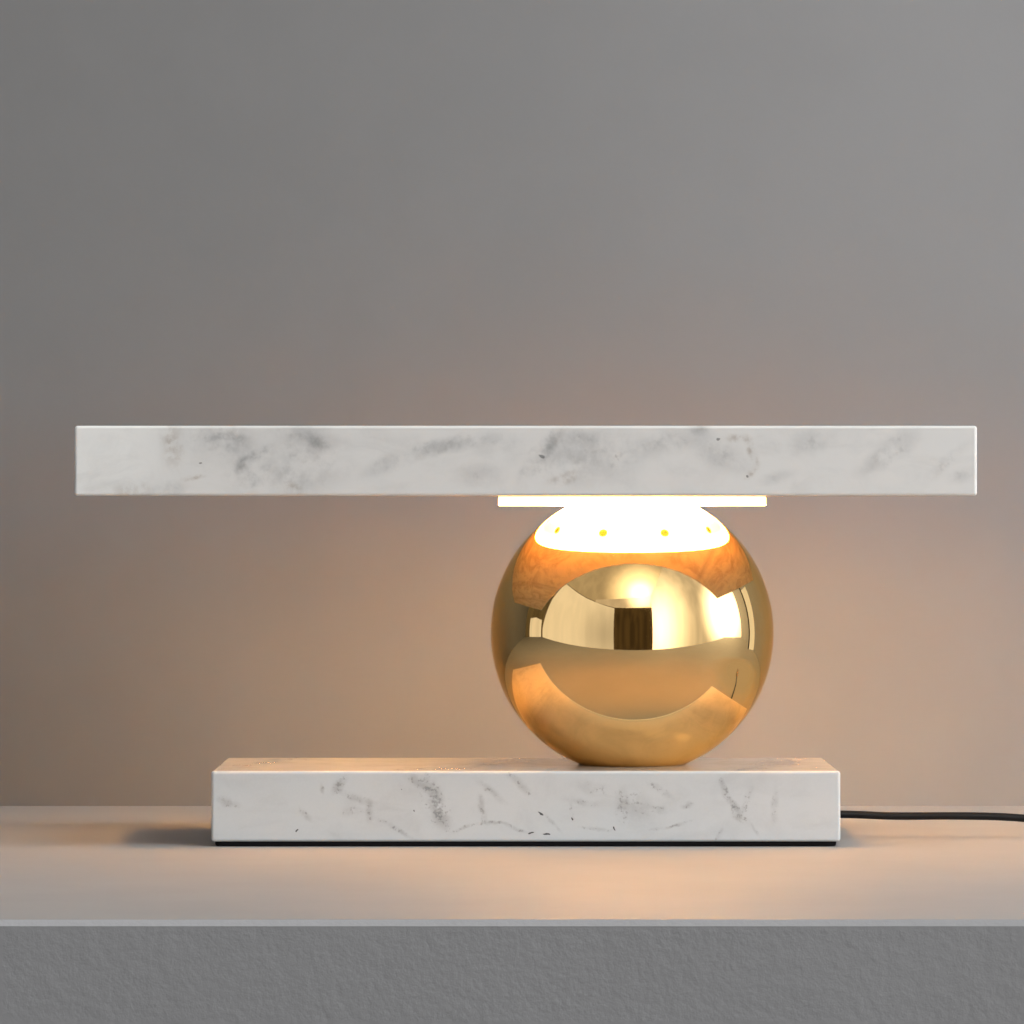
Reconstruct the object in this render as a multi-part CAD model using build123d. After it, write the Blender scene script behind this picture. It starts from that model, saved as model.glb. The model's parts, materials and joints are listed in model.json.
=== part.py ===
from build123d import *
import math
import os

# Table lamp: a marble beam clamped on a polished ball, which stands on a marble base.
# An opal disc between ball and beam is lit from its inner edge.
# Lengths are in millimetres. The origin is on the table under the middle of the base.
# +X runs along the beam, +Y to the back and +Z up.

# Marble slabs and pad
BEAM_LENGTH = 450.0
BEAM_DEPTH = 170.0
BEAM_HEIGHT = 35.0
BASE_LENGTH = 316.0
BASE_DEPTH = 135.0
BASE_HEIGHT = 35.5
MARBLE_EDGE = 1.5
PAD_HEIGHT = 2.5
PAD_INSET = 1.5
PAD_CORNER = 4.0
PAD_EDGE = 0.8

# Ball
BALL_RADIUS = 73.0
BALL_WALL = 1.2
BALL_FOOT_RADIUS = 27.0
BALL_NECK_RADIUS = 32.4
BALL_X = 55.0
PLATE_HEIGHT = 3.0

# Light disc and its screws
DISC_RADIUS = 69.0
DISC_HEIGHT = 4.5
DISC_EDGE = 0.5
FILM_HEIGHT = 0.3
DISC_SCREW_CIRCLE = 52.0
DISC_SCREW_COUNT = 8
DISC_SCREW_LENGTH = 12.0
DISC_SCREW_RADIUS = 1.5
DISC_HEAD_RADIUS = 2.8
DISC_HEAD_HEIGHT = 1.5
ANCHOR_RADIUS = 2.6
ANCHOR_LENGTH = 9.0

# Light source on the hub
HUB_RADIUS = 28.0
HUB_SLOT_WIDTH = 6.0
STRIP_WALL = 0.45
STRIP_MARGIN = 0.4
CHIP_COUNT = 24
CHIP_WIDTH = 3.5
CHIP_HEIGHT = 2.8
CHIP_DEPTH = 0.9
CHIP_GAP = 1.2

# Rod and fixings
ROD_RADIUS = 5.0
NUT_FLATS = 15.0
NUT_HEIGHT = 5.0
WASHER_RADIUS = 11.0
WASHER_HEIGHT = 2.0
ROD_TAIL = 2.0
BASE_POCKET_ROOM = 2.0
BASE_POCKET_DEPTH = 24.0
BEAM_POCKET_LIP = 4.0
BEAM_POCKET_DEPTH = 16.0
FLANGE_HEIGHT = 5.0
FLANGE_SCREW_CIRCLE = 16.0
FLANGE_SCREW_COUNT = 3
FLANGE_SCREW_LENGTH = 14.0
FLANGE_SCREW_RADIUS = 2.0
FLANGE_HEAD_RADIUS = 3.8
FLANGE_HEAD_HEIGHT = 2.0
INSERT_RADIUS = 3.5
INSERT_LENGTH = 10.0
INSERT_ROOM = 1.0
SOCKET_SHARE = 0.55

# Driver in the ball
DRIVER_DEPTH = 20.0
DRIVER_WIDTH = 26.0
DRIVER_HEIGHT = 62.0
DRIVER_RISE = 14.0
DRIVER_WALL = 1.6
DRIVER_EDGE = 1.0
BOARD_HEIGHT = 1.6
BOARD_STANDOFF = 3.0
BOARD_MARGIN = 0.4
RIB_WIDTH = 4.0
TRANSFORMER_LENGTH = 16.0
TRANSFORMER_WIDTH = 14.0
TRANSFORMER_HEIGHT = 9.0
CAPACITOR_RADIUS = 3.5
CAPACITOR_LENGTH = 8.0
BRACKET_SHEET = 1.5
BRACKET_WIDTH = 18.0
BRACKET_TAIL = 9.0
BRACKET_ROOM = 0.5
BRACKET_MARGIN = 7.5
DRIVER_SCREW_RADIUS = 1.25
DRIVER_SCREW_LENGTH = 3.0
DRIVER_HEAD_RADIUS = 2.4
DRIVER_HEAD_HEIGHT = 1.6
DRIVER_SCREW_SHARES = (0.22, 0.62)

# Leads inside the lamp
LEAD_INSET = 5.0
LEAD_BEND = 10.0
LEAD_ENTRY = 4.0
LEAD_HOLE_ROOM = 1.0
CHANNEL_ROOM = 2.0
WIRE_RADIUS = 0.7
WIRE_SPACING = 2.0
WIRE_ROOM = 0.6
WIRE_BEND = 1.6
GROMMET_WALL = 1.2
GROMMET_FLANGE_WIDTH = 1.1
GROMMET_FLANGE_HEIGHT = 1.0

# Cord and its gland in the right end of the base
CORD_RADIUS = 2.0
CORD_HEIGHT = 12.2
GLAND_WALL = 2.3
GLAND_LENGTH = 20.0
GLAND_RECESS = 0.5
GLAND_EDGE = 0.6

# Cord routes, chosen by hand: base to switch, switch to coil, coil to plug
LAMP_CORD_ROUTE = [
    (157.5, 0.0, 12.2),
    (169.0, 0.0, 12.2),
    (189.0, 0.4, 11.1),
    (219.0, -0.5, 11.5),
    (252.0, 0.4, 10.9),
    (274.0, 0.0, 8.0),
    (290.0, 0.0, 8.0),
]
COIL_LEAD_ROUTE = [
    (340.0, 0.0, 8.0),
    (353.0, 0.0, 8.0),
    (364.0, 0.0, 4.9),
    (374.0, 0.0, 3.1),
    (386.0, 0.0, 3.1),
]
PLUG_LEAD_ROUTE = [
    (386.0, 56.6, 16.9),
    (373.0, 56.6, 16.9),
    (359.0, 56.6, 11.9),
    (347.0, 56.6, 6.9),
    (334.0, 56.6, 6.9),
]
ARC_SHARE = 0.45

# Coil of the cord that is put away
COIL_OUTER = 28.3
TURN_GAP = 0.6
COIL_LAYERS = 4
LAYER_QUARTERS = 9
CLIMB_QUARTERS = 2
POINT_STEP = 1.0
TIE_WIDTH = 8.0
TIE_SHEET = 0.8
TIE_CORNER = 2.6

# In-line switch
SWITCH_LENGTH = 62.0
SWITCH_WIDTH = 21.0
SWITCH_HEIGHT = 16.5
SWITCH_SPLIT = 8.0
SWITCH_WALL = 1.8
SWITCH_CORNER = 7.0
SWITCH_EDGE = 2.4
SWITCH_FOOT_EDGE = 0.8
CORD_INSET = 6.0
ROCKER_RADIUS = 8.6
ROCKER_WIDTH = 8.4
ROCKER_DISH = 3.6
ROCKER_SKIRT = 2.8
ROCKER_TILT = 11.0
PIN_RADIUS = 1.0
PIN_DEPTH = 3.9
EAR_LENGTH = 5.0
EAR_WIDTH = 1.8
EAR_DROP = 2.2
PLUNGER_RADIUS = 1.5
PLUNGER_ROOM = 0.2
PLUNGER_BORE_DEPTH = 1.6
SEESAW_LENGTH = 16.0
SEESAW_WIDTH = 4.0
SEESAW_SHEET = 0.8
SEESAW_TILT = 8.0
SEESAW_PIVOT = 5.5
BUTTON_RADIUS = 1.2
BUTTON_HEIGHT = 0.5
BUTTON_REACH = 6.6
TERMINAL_SHEET = 0.8
TERMINAL_LENGTH = 14.0
TERMINAL_GAP = 2.2
KNIFE_WIDTH = 2.4
FULCRUM_RADIUS = 0.4
POST_RADIUS = 3.2
POST_REACH = 20.0
POST_OFFSET = 5.4
SWITCH_SCREW_RADIUS = 0.95
SWITCH_SCREW_LENGTH = 9.0
SWITCH_HEAD_RADIUS = 2.0
SWITCH_HEAD_HEIGHT = 1.6
SWITCH_HEAD_RECESS = 3.0
CORE_RADIUS = 0.6
CORE_SPACING = 1.8
CORE_BEND = 2.2
CORE_SIDE = 6.2
CORE_RUN = 4.0

# Plug
PLUG_FACE_WIDTH = 35.0
PLUG_FACE_HEIGHT = 13.8
PLUG_FACE_CORNER = 5.5
PLUG_FACE_LENGTH = 9.0
PLUG_NECK_WIDTH = 14.0
PLUG_NECK_HEIGHT = 11.0
PLUG_NECK_CORNER = 4.5
PLUG_NECK_LENGTH = 14.0
PLUG_SLEEVE_LENGTH = 20.0
PLUG_SLEEVE_RADIUS = 4.2
PLUG_SLEEVE_TIP_WALL = 0.8
PIN_SPACING = 19.0
PLUG_PIN_RADIUS = 2.0
PLUG_PIN_LENGTH = 19.0
PLUG_PIN_ROOT = 6.0
PLUG_PIN_TIP = 1.4
PIN_SLEEVE_LENGTH = 10.0
PIN_CORE_RADIUS = 1.5

# Clearances and the overrun of a cut
FIT = 0.1
SEAT = 0.05
RUNNING = 0.3
OVERRUN = 2.0

# Heights and places that follow from the sizes above
BASE_TOP = PAD_HEIGHT + BASE_HEIGHT
BALL_CENTRE = BASE_TOP + math.sqrt(BALL_RADIUS**2 - BALL_FOOT_RADIUS**2)
BALL_TOP = BALL_CENTRE + math.sqrt(BALL_RADIUS**2 - BALL_NECK_RADIUS**2)
FOOT_TOP = BASE_TOP + PLATE_HEIGHT
CAP_BOTTOM = BALL_TOP - PLATE_HEIGHT
BEAM_BOTTOM = BALL_TOP + DISC_HEIGHT + FILM_HEIGHT
BEAM_TOP = BEAM_BOTTOM + BEAM_HEIGHT
BASE_POCKET_TOP = PAD_HEIGHT + BASE_POCKET_DEPTH
BEAM_POCKET_TOP = BEAM_BOTTOM + BEAM_POCKET_DEPTH
FLANGE_BOTTOM = BEAM_POCKET_TOP - FLANGE_HEIGHT
BASE_NUT_BOTTOM = BASE_POCKET_TOP - WASHER_HEIGHT - NUT_HEIGHT
STRIP_INNER = HUB_RADIUS + SEAT
STRIP_OUTER = STRIP_INNER + STRIP_WALL
DISC_BORE = STRIP_OUTER + CHIP_DEPTH + CHIP_GAP
NUT_CORNER = NUT_FLATS / math.sqrt(3)
BRACKET_REACH = max(BRACKET_TAIL, NUT_CORNER) + BRACKET_ROOM + BRACKET_SHEET
BRACKET_HEIGHT = DRIVER_RISE + DRIVER_SCREW_SHARES[-1] * DRIVER_HEIGHT + BRACKET_MARGIN
DRIVER_X = BALL_X + BRACKET_REACH
LEAD_X = DRIVER_X + LEAD_INSET
LEAD_HOLE_RADIUS = CORD_RADIUS + LEAD_HOLE_ROOM
CHANNEL_RADIUS = CORD_RADIUS + CHANNEL_ROOM
BASE_POCKET_RADIUS = BRACKET_REACH + LEAD_INSET + LEAD_HOLE_RADIUS + BASE_POCKET_ROOM
BEAM_POCKET_RADIUS = HUB_RADIUS - BEAM_POCKET_LIP
WIRE_BORE = WIRE_SPACING / 2 + WIRE_RADIUS + WIRE_ROOM
GROMMET_RADIUS = CORD_RADIUS + RUNNING + GROMMET_WALL
GROMMET_FLANGE_RADIUS = GROMMET_RADIUS + GROMMET_FLANGE_WIDTH
DRIVER_BOTTOM = FOOT_TOP + DRIVER_RISE
DRIVER_TOP = DRIVER_BOTTOM + DRIVER_HEIGHT
CORD_BORE = CORD_RADIUS + FIT
GLAND_RADIUS = CORD_BORE + GLAND_WALL
PLUG_SLEEVE_TIP_RADIUS = CORD_RADIUS + PLUG_SLEEVE_TIP_WALL
GLAND_FACE_X = BASE_LENGTH / 2 - GLAND_RECESS
SWITCH_X = LAMP_CORD_ROUTE[-1][0] - CORD_INSET + SWITCH_LENGTH / 2
SWITCH_TOP_INSIDE = SWITCH_HEIGHT - SWITCH_WALL
PIN_HEIGHT = SWITCH_HEIGHT - PIN_DEPTH
PLUNGER_REACH = PIN_HEIGHT - SEESAW_PIVOT - SEESAW_SHEET - PLUNGER_ROOM
COIL_PITCH = 2 * CORD_RADIUS + TURN_GAP
COIL_RATE = COIL_PITCH / math.tau
COIL_INNER = COIL_OUTER - LAYER_QUARTERS * COIL_PITCH / 4
COIL_X = COIL_LEAD_ROUTE[-1][0] + 2 * CORD_RADIUS
COIL_Y = COIL_LEAD_ROUTE[-1][1] + COIL_OUTER
COIL_BOTTOM = TIE_SHEET + RUNNING + CORD_RADIUS
PLUG_END = PLUG_LEAD_ROUTE[-1]
LOW = (Align.CENTER, Align.CENTER, Align.MIN)


def column(radius, bottom, top, x=BALL_X, y=0.0):
    return Pos(x, y, bottom) * Cylinder(radius, top - bottom, align=LOW)


def ring(outer, inner, bottom, top, x=BALL_X, y=0.0):
    return column(outer, bottom, top, x, y) - column(inner, bottom - OVERRUN, top + OVERRUN, x, y)


def block(length, depth, bottom, top, x=0.0, y=0.0):
    return Pos(x, y, bottom) * Box(length, depth, top - bottom, align=LOW)


def bar(radius, start, end, y=0.0, z=0.0):
    """A round bar along X."""
    return Pos(start, y, z) * Rot(0, 90, 0) * Cylinder(radius, end - start, align=LOW)


def circle_places(radius, count, x=BALL_X):
    step = math.tau / count
    angles = [step * (index + 1 / 2) for index in range(count)]
    return [(x + radius * math.cos(angle), radius * math.sin(angle)) for angle in angles]


def joined(shapes):
    return Compound(children=list(shapes))


def rod_hole(bottom, top):
    return column(ROD_RADIUS + FIT, bottom - OVERRUN, top + OVERRUN)


def countersunk_screw(head_radius, head_height, radius, length):
    """A flat-headed screw that points up, with its head's face at height zero."""
    head = Cone(head_radius, radius, head_height, align=LOW)
    shank = Pos(0, 0, head_height) * Cylinder(radius, length - head_height, align=LOW)
    socket = extrude(RegularPolygon(SOCKET_SHARE * radius, 6), head_height / 2)
    return head + shank - socket


def countersink(head_radius, head_height, radius, depth):
    head = Cone(head_radius + FIT, radius + FIT, head_height, align=LOW)
    return head + Pos(0, 0, head_height) * Cylinder(radius + FIT, depth, align=LOW)


# Marble slabs and pad

def upper_slab():
    slab = fillet(block(BEAM_LENGTH, BEAM_DEPTH, BEAM_BOTTOM, BEAM_TOP).edges(), MARBLE_EDGE)
    slab -= column(BEAM_POCKET_RADIUS, BEAM_BOTTOM - OVERRUN, BEAM_POCKET_TOP)
    insert_hole_top = BEAM_POCKET_TOP + INSERT_LENGTH + INSERT_ROOM
    for x, y in circle_places(FLANGE_SCREW_CIRCLE, FLANGE_SCREW_COUNT):
        slab -= column(INSERT_RADIUS + SEAT, BEAM_BOTTOM, insert_hole_top, x, y)
    for x, y in circle_places(DISC_SCREW_CIRCLE, DISC_SCREW_COUNT):
        slab -= column(ANCHOR_RADIUS + SEAT, BEAM_BOTTOM - OVERRUN, BEAM_BOTTOM + DISC_SCREW_LENGTH, x, y)
    return slab


def base_slab():
    slab = fillet(block(BASE_LENGTH, BASE_DEPTH, PAD_HEIGHT, BASE_TOP).edges(), MARBLE_EDGE)
    slab -= column(BASE_POCKET_RADIUS, PAD_HEIGHT - OVERRUN, BASE_POCKET_TOP)
    slab -= rod_hole(BASE_POCKET_TOP, BASE_TOP)
    slab -= column(LEAD_HOLE_RADIUS, BASE_POCKET_TOP - OVERRUN, BASE_TOP + OVERRUN, LEAD_X)
    end = BASE_LENGTH / 2
    slab -= bar(CHANNEL_RADIUS, LEAD_X, end, z=CORD_HEIGHT)
    slab -= bar(GLAND_RADIUS + FIT, GLAND_FACE_X - GLAND_LENGTH - FIT, end + OVERRUN, z=CORD_HEIGHT)
    return slab


def base_pad():
    length = BASE_LENGTH - 2 * PAD_INSET
    depth = BASE_DEPTH - 2 * PAD_INSET
    pad = extrude(RectangleRounded(length, depth, PAD_CORNER), PAD_HEIGHT)
    return fillet(pad.faces().sort_by(Axis.Z)[0].edges(), PAD_EDGE)


# Ball

def ball_zone(radius, bottom, top):
    ball = Pos(BALL_X, 0, BALL_CENTRE) * Sphere(radius)
    return ball & block(2 * BALL_RADIUS, 2 * BALL_RADIUS, bottom, top, BALL_X)


def ball_shell():
    inside = ball_zone(BALL_RADIUS - BALL_WALL, BASE_TOP - OVERRUN, BALL_TOP + OVERRUN)
    return ball_zone(BALL_RADIUS, BASE_TOP, BALL_TOP) - inside


def ball_plate(bottom, top):
    """A turned plate whose rim follows the inside of the shell."""
    plate = ball_zone(BALL_RADIUS - BALL_WALL - FIT, bottom, top) - rod_hole(bottom, top)
    return plate - column(GROMMET_RADIUS + FIT, bottom - OVERRUN, top + OVERRUN, LEAD_X)


def wire_grommets():
    lower = column(GROMMET_RADIUS, BASE_TOP, FOOT_TOP, LEAD_X)
    lower += column(GROMMET_FLANGE_RADIUS, FOOT_TOP, FOOT_TOP + GROMMET_FLANGE_HEIGHT, LEAD_X)
    upper = column(GROMMET_RADIUS, CAP_BOTTOM, BALL_TOP, LEAD_X)
    upper += column(GROMMET_FLANGE_RADIUS, CAP_BOTTOM - GROMMET_FLANGE_HEIGHT, CAP_BOTTOM, LEAD_X)
    lead_bore = column(CORD_RADIUS + RUNNING, 0, BEAM_TOP, LEAD_X)
    wire_bore = column(WIRE_BORE, 0, BEAM_TOP, LEAD_X)
    return joined([lower - lead_bore, upper - wire_bore])


# Rod and fixings

def centre_rod():
    return column(ROD_RADIUS, BASE_NUT_BOTTOM - ROD_TAIL, BEAM_POCKET_TOP)


def nut(bottom):
    hexagon = RegularPolygon(NUT_FLATS / 2, 6, major_radius=False)
    body = Pos(BALL_X, 0, bottom) * extrude(hexagon, NUT_HEIGHT)
    return body - column(ROD_RADIUS + SEAT, bottom - OVERRUN, bottom + NUT_HEIGHT + OVERRUN)


def rod_nuts():
    foot_nut = nut(FOOT_TOP + BRACKET_SHEET + WASHER_HEIGHT)
    cap_nut = nut(CAP_BOTTOM - WASHER_HEIGHT - NUT_HEIGHT)
    return joined([nut(BASE_NUT_BOTTOM), foot_nut, cap_nut, nut(FLANGE_BOTTOM - NUT_HEIGHT)])


def washer(bottom, radius=WASHER_RADIUS):
    return ring(radius, ROD_RADIUS + FIT, bottom, bottom + WASHER_HEIGHT)


def rod_washers():
    under_base = washer(BASE_POCKET_TOP - WASHER_HEIGHT)
    on_bracket = washer(FOOT_TOP + BRACKET_SHEET, BRACKET_TAIL)
    under_cap = washer(CAP_BOTTOM - WASHER_HEIGHT)
    return joined([under_base, on_bracket, under_cap])


def mounting_flange():
    flange = column(BEAM_POCKET_RADIUS - RUNNING, FLANGE_BOTTOM, BEAM_POCKET_TOP)
    flange -= column(ROD_RADIUS + SEAT, FLANGE_BOTTOM - OVERRUN, BEAM_POCKET_TOP + OVERRUN)
    sink = countersink(FLANGE_HEAD_RADIUS, FLANGE_HEAD_HEIGHT, FLANGE_SCREW_RADIUS, FLANGE_HEIGHT)
    for x, y in circle_places(FLANGE_SCREW_CIRCLE, FLANGE_SCREW_COUNT):
        flange -= Pos(x, y, FLANGE_BOTTOM) * sink
    return flange


def flange_screws():
    screw = countersunk_screw(
        FLANGE_HEAD_RADIUS, FLANGE_HEAD_HEIGHT, FLANGE_SCREW_RADIUS, FLANGE_SCREW_LENGTH
    )
    places = circle_places(FLANGE_SCREW_CIRCLE, FLANGE_SCREW_COUNT)
    return joined(Pos(x, y, FLANGE_BOTTOM) * screw for x, y in places)


def flange_inserts():
    top = BEAM_POCKET_TOP + INSERT_LENGTH
    places = circle_places(FLANGE_SCREW_CIRCLE, FLANGE_SCREW_COUNT)
    bore = FLANGE_SCREW_RADIUS + SEAT
    return joined(ring(INSERT_RADIUS, bore, BEAM_POCKET_TOP, top, x, y) for x, y in places)


# Light disc and its light source

def light_disc():
    disc = column(DISC_RADIUS, BALL_TOP, BALL_TOP + DISC_HEIGHT)
    disc = fillet(disc.edges(), DISC_EDGE)
    disc -= column(DISC_BORE, BALL_TOP - OVERRUN, BEAM_BOTTOM)
    sink = countersink(DISC_HEAD_RADIUS, DISC_HEAD_HEIGHT, DISC_SCREW_RADIUS, DISC_HEIGHT)
    for x, y in circle_places(DISC_SCREW_CIRCLE, DISC_SCREW_COUNT):
        disc -= Pos(x, y, BALL_TOP) * sink
    return disc


def reflector_film():
    film_bottom = BALL_TOP + DISC_HEIGHT
    film = ring(DISC_RADIUS - DISC_EDGE, DISC_BORE, film_bottom, BEAM_BOTTOM)
    for x, y in circle_places(DISC_SCREW_CIRCLE, DISC_SCREW_COUNT):
        film -= column(DISC_SCREW_RADIUS + FIT, film_bottom - OVERRUN, BEAM_BOTTOM + OVERRUN, x, y)
    return film


def disc_screws():
    screw = countersunk_screw(DISC_HEAD_RADIUS, DISC_HEAD_HEIGHT, DISC_SCREW_RADIUS, DISC_SCREW_LENGTH)
    places = circle_places(DISC_SCREW_CIRCLE, DISC_SCREW_COUNT)
    return joined(Pos(x, y, BALL_TOP) * screw for x, y in places)


def disc_anchors():
    top = BEAM_BOTTOM + ANCHOR_LENGTH
    places = circle_places(DISC_SCREW_CIRCLE, DISC_SCREW_COUNT)
    bore = DISC_SCREW_RADIUS + SEAT
    return joined(ring(ANCHOR_RADIUS, bore, BEAM_BOTTOM, top, x, y) for x, y in places)


def led_hub():
    hub = column(HUB_RADIUS, BALL_TOP, BEAM_BOTTOM) - rod_hole(BALL_TOP, BEAM_BOTTOM)
    slot_start = LEAD_X - HUB_SLOT_WIDTH / 2
    slot_length = BALL_X + HUB_RADIUS + OVERRUN - slot_start
    slot_middle = slot_start + slot_length / 2
    return hub - block(slot_length, HUB_SLOT_WIDTH, BALL_TOP - OVERRUN, BEAM_BOTTOM + OVERRUN, slot_middle)


def led_strip():
    return ring(STRIP_OUTER, STRIP_INNER, BALL_TOP + STRIP_MARGIN, BEAM_BOTTOM - STRIP_MARGIN)


def led_chips():
    middle = (BALL_TOP + BEAM_BOTTOM) / 2
    chip = Box(CHIP_DEPTH, CHIP_WIDTH, CHIP_HEIGHT, align=(Align.MIN, Align.CENTER, Align.CENTER))
    chip = Pos(STRIP_OUTER, 0, 0) * chip
    step = 360 / CHIP_COUNT
    return joined(Pos(BALL_X, 0, middle) * Rot(0, 0, step * index) * chip for index in range(CHIP_COUNT))


# Driver in the ball

def driver_bracket():
    foot_length = BRACKET_TAIL + BRACKET_REACH
    foot_x = BALL_X + BRACKET_REACH - foot_length / 2
    foot = block(foot_length, BRACKET_WIDTH, FOOT_TOP, FOOT_TOP + BRACKET_SHEET, foot_x)
    leg_x = DRIVER_X - BRACKET_SHEET / 2
    leg = block(BRACKET_SHEET, BRACKET_WIDTH, FOOT_TOP, FOOT_TOP + BRACKET_HEIGHT, leg_x)
    bracket = foot + leg - rod_hole(FOOT_TOP, FOOT_TOP + BRACKET_SHEET)
    for z in driver_screw_heights():
        bracket -= bar(DRIVER_SCREW_RADIUS + FIT, BALL_X, DRIVER_X + OVERRUN, z=z)
    return bracket


def driver_screw_heights():
    return [DRIVER_BOTTOM + share * DRIVER_HEIGHT for share in DRIVER_SCREW_SHARES]


def driver_case():
    body_depth = DRIVER_DEPTH - DRIVER_WALL
    middle = DRIVER_X + body_depth / 2
    case = block(body_depth, DRIVER_WIDTH, DRIVER_BOTTOM, DRIVER_TOP, middle)
    case = fillet(case.edges().filter_by(Axis.X), DRIVER_EDGE)
    inner_width = DRIVER_WIDTH - 2 * DRIVER_WALL
    cavity_bottom = DRIVER_BOTTOM + DRIVER_WALL
    cavity_top = DRIVER_TOP - DRIVER_WALL
    case -= block(body_depth, inner_width, cavity_bottom, cavity_top, middle + DRIVER_WALL)
    rib_x = DRIVER_X + DRIVER_WALL + BOARD_STANDOFF / 2
    rib_y = (inner_width - RIB_WIDTH) / 2
    for y in (-rib_y, rib_y):
        case += block(BOARD_STANDOFF, RIB_WIDTH, cavity_bottom, cavity_top, rib_x, y)
    for z in driver_screw_heights():
        case -= bar(DRIVER_SCREW_RADIUS + SEAT, DRIVER_X - OVERRUN, DRIVER_X + DRIVER_SCREW_LENGTH, z=z)
    case -= column(CORD_RADIUS + RUNNING, DRIVER_BOTTOM - OVERRUN, cavity_bottom + OVERRUN, LEAD_X)
    case -= column(WIRE_BORE, cavity_top - OVERRUN, DRIVER_TOP + OVERRUN, LEAD_X)
    return case


def driver_lid():
    middle = DRIVER_X + DRIVER_DEPTH - DRIVER_WALL / 2
    lid = block(DRIVER_WALL, DRIVER_WIDTH, DRIVER_BOTTOM, DRIVER_TOP, middle)
    return fillet(lid.edges().filter_by(Axis.X), DRIVER_EDGE)


def driver_board_face():
    return DRIVER_X + DRIVER_WALL + BOARD_STANDOFF + BOARD_HEIGHT


def driver_board():
    width = DRIVER_WIDTH - 2 * DRIVER_WALL - 2 * BOARD_MARGIN
    bottom = DRIVER_BOTTOM + DRIVER_WALL + LEAD_ENTRY + OVERRUN
    top = DRIVER_TOP - DRIVER_WALL - LEAD_ENTRY - OVERRUN
    return block(BOARD_HEIGHT, width, bottom, top, driver_board_face() - BOARD_HEIGHT / 2)


def driver_parts():
    face = driver_board_face()
    middle = (DRIVER_BOTTOM + DRIVER_TOP) / 2
    low = middle - TRANSFORMER_LENGTH / 2
    transformer = block(
        TRANSFORMER_HEIGHT, TRANSFORMER_WIDTH, low, low + TRANSFORMER_LENGTH, face + TRANSFORMER_HEIGHT / 2
    )
    step = TRANSFORMER_LENGTH / 2 + 2 * CAPACITOR_RADIUS
    end = face + CAPACITOR_LENGTH
    capacitors = [bar(CAPACITOR_RADIUS, face, end, z=middle + side * step) for side in (-1, 1)]
    return joined([transformer] + capacitors)


def driver_screws():
    head_start = DRIVER_X - BRACKET_SHEET - DRIVER_HEAD_HEIGHT
    screws = []
    for z in driver_screw_heights():
        head = bar(DRIVER_HEAD_RADIUS, head_start, head_start + DRIVER_HEAD_HEIGHT, z=z)
        shank_end = DRIVER_X + DRIVER_SCREW_LENGTH - SEAT
        screws.append(head + bar(DRIVER_SCREW_RADIUS, head_start, shank_end, z=z))
    return joined(screws)


# Leads inside the lamp and the gland

def tube(points, radii, radius):
    """A round tube along straight runs joined by arcs."""
    path = FilletPolyline(*points, radius=radii)
    start = Plane(origin=points[0], z_dir=Vector(points[1]) - Vector(points[0]))
    return sweep(start * Circle(radius), path=path)


def inner_lead():
    corner = (LEAD_X, 0, CORD_HEIGHT)
    end = (LEAD_X, 0, DRIVER_BOTTOM + DRIVER_WALL + LEAD_ENTRY)
    return tube([(GLAND_FACE_X, 0, CORD_HEIGHT), corner, end], [LEAD_BEND], CORD_RADIUS)


def led_wires():
    start = DRIVER_TOP - DRIVER_WALL - LEAD_ENTRY
    middle = (BALL_TOP + BEAM_BOTTOM) / 2
    wires = []
    for y in (-WIRE_SPACING / 2, WIRE_SPACING / 2):
        points = [(LEAD_X, y, start), (LEAD_X, y, middle), (BALL_X + HUB_RADIUS, y, middle)]
        wires.append(tube(points, [WIRE_BEND], WIRE_RADIUS))
    return joined(wires)


def cord_gland():
    start = GLAND_FACE_X - GLAND_LENGTH
    gland = bar(GLAND_RADIUS, start, GLAND_FACE_X, z=CORD_HEIGHT)
    gland = fillet(gland.edges().sort_by(Axis.X)[-1], GLAND_EDGE)
    return gland - bar(CORD_BORE, start - OVERRUN, GLAND_FACE_X + OVERRUN, z=CORD_HEIGHT)


# Free cord

def cord_tube(name, points):
    """A cord stretch whose arcs are as large as the runs beside them allow."""
    runs = [Vector(end) - Vector(start) for start, end in zip(points, points[1:])]
    radii = []
    for before, after in zip(runs, runs[1:]):
        half_turn = math.radians(before.get_angle(after)) / 2
        radii.append(ARC_SHARE * min(before.length, after.length) / math.tan(half_turn))
    cord = tube(points, radii, CORD_RADIUS)
    length = FilletPolyline(*points, radius=radii).length
    share = cord.volume / (math.pi * CORD_RADIUS**2 * length)
    print(name, "length", round(length, 1), "volume share", round(share, 4))
    print(name, "radii", [round(radius, 1) for radius in radii])
    return cord


def coil_station(sweep_angle):
    """Point and direction on the coil, a given angle along its turns."""
    layer_angle = LAYER_QUARTERS * math.pi / 2
    climb_angle = CLIMB_QUARTERS * math.pi / 2
    quarters = round(sweep_angle / (math.pi / 2))
    layer = min(quarters // (LAYER_QUARTERS + CLIMB_QUARTERS), COIL_LAYERS - 1)
    local = sweep_angle - layer * (layer_angle + climb_angle)
    way = -1 if layer % 2 == 0 else 1
    first = COIL_OUTER if way < 0 else COIL_INNER
    last = COIL_INNER if way < 0 else COIL_OUTER
    phase = max(local - layer_angle, 0)
    spread = first + way * COIL_RATE * local if phase == 0 else last + way * COIL_RATE * math.sin(phase)
    spread_rate = way * COIL_RATE * math.cos(phase)
    height = COIL_BOTTOM + COIL_PITCH * (layer + (1 - math.cos(phase)) / 2)
    height_rate = COIL_PITCH * math.sin(phase) / 2
    angle = sweep_angle - math.pi / 2
    outward = Vector(math.cos(angle), math.sin(angle), 0)
    onward = Vector(-math.sin(angle), math.cos(angle), 0)
    point = Vector(COIL_X, COIL_Y, height) + outward * spread
    direction = outward * spread_rate + onward * spread + Vector(0, 0, height_rate)
    return point, direction.normalized()


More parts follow.
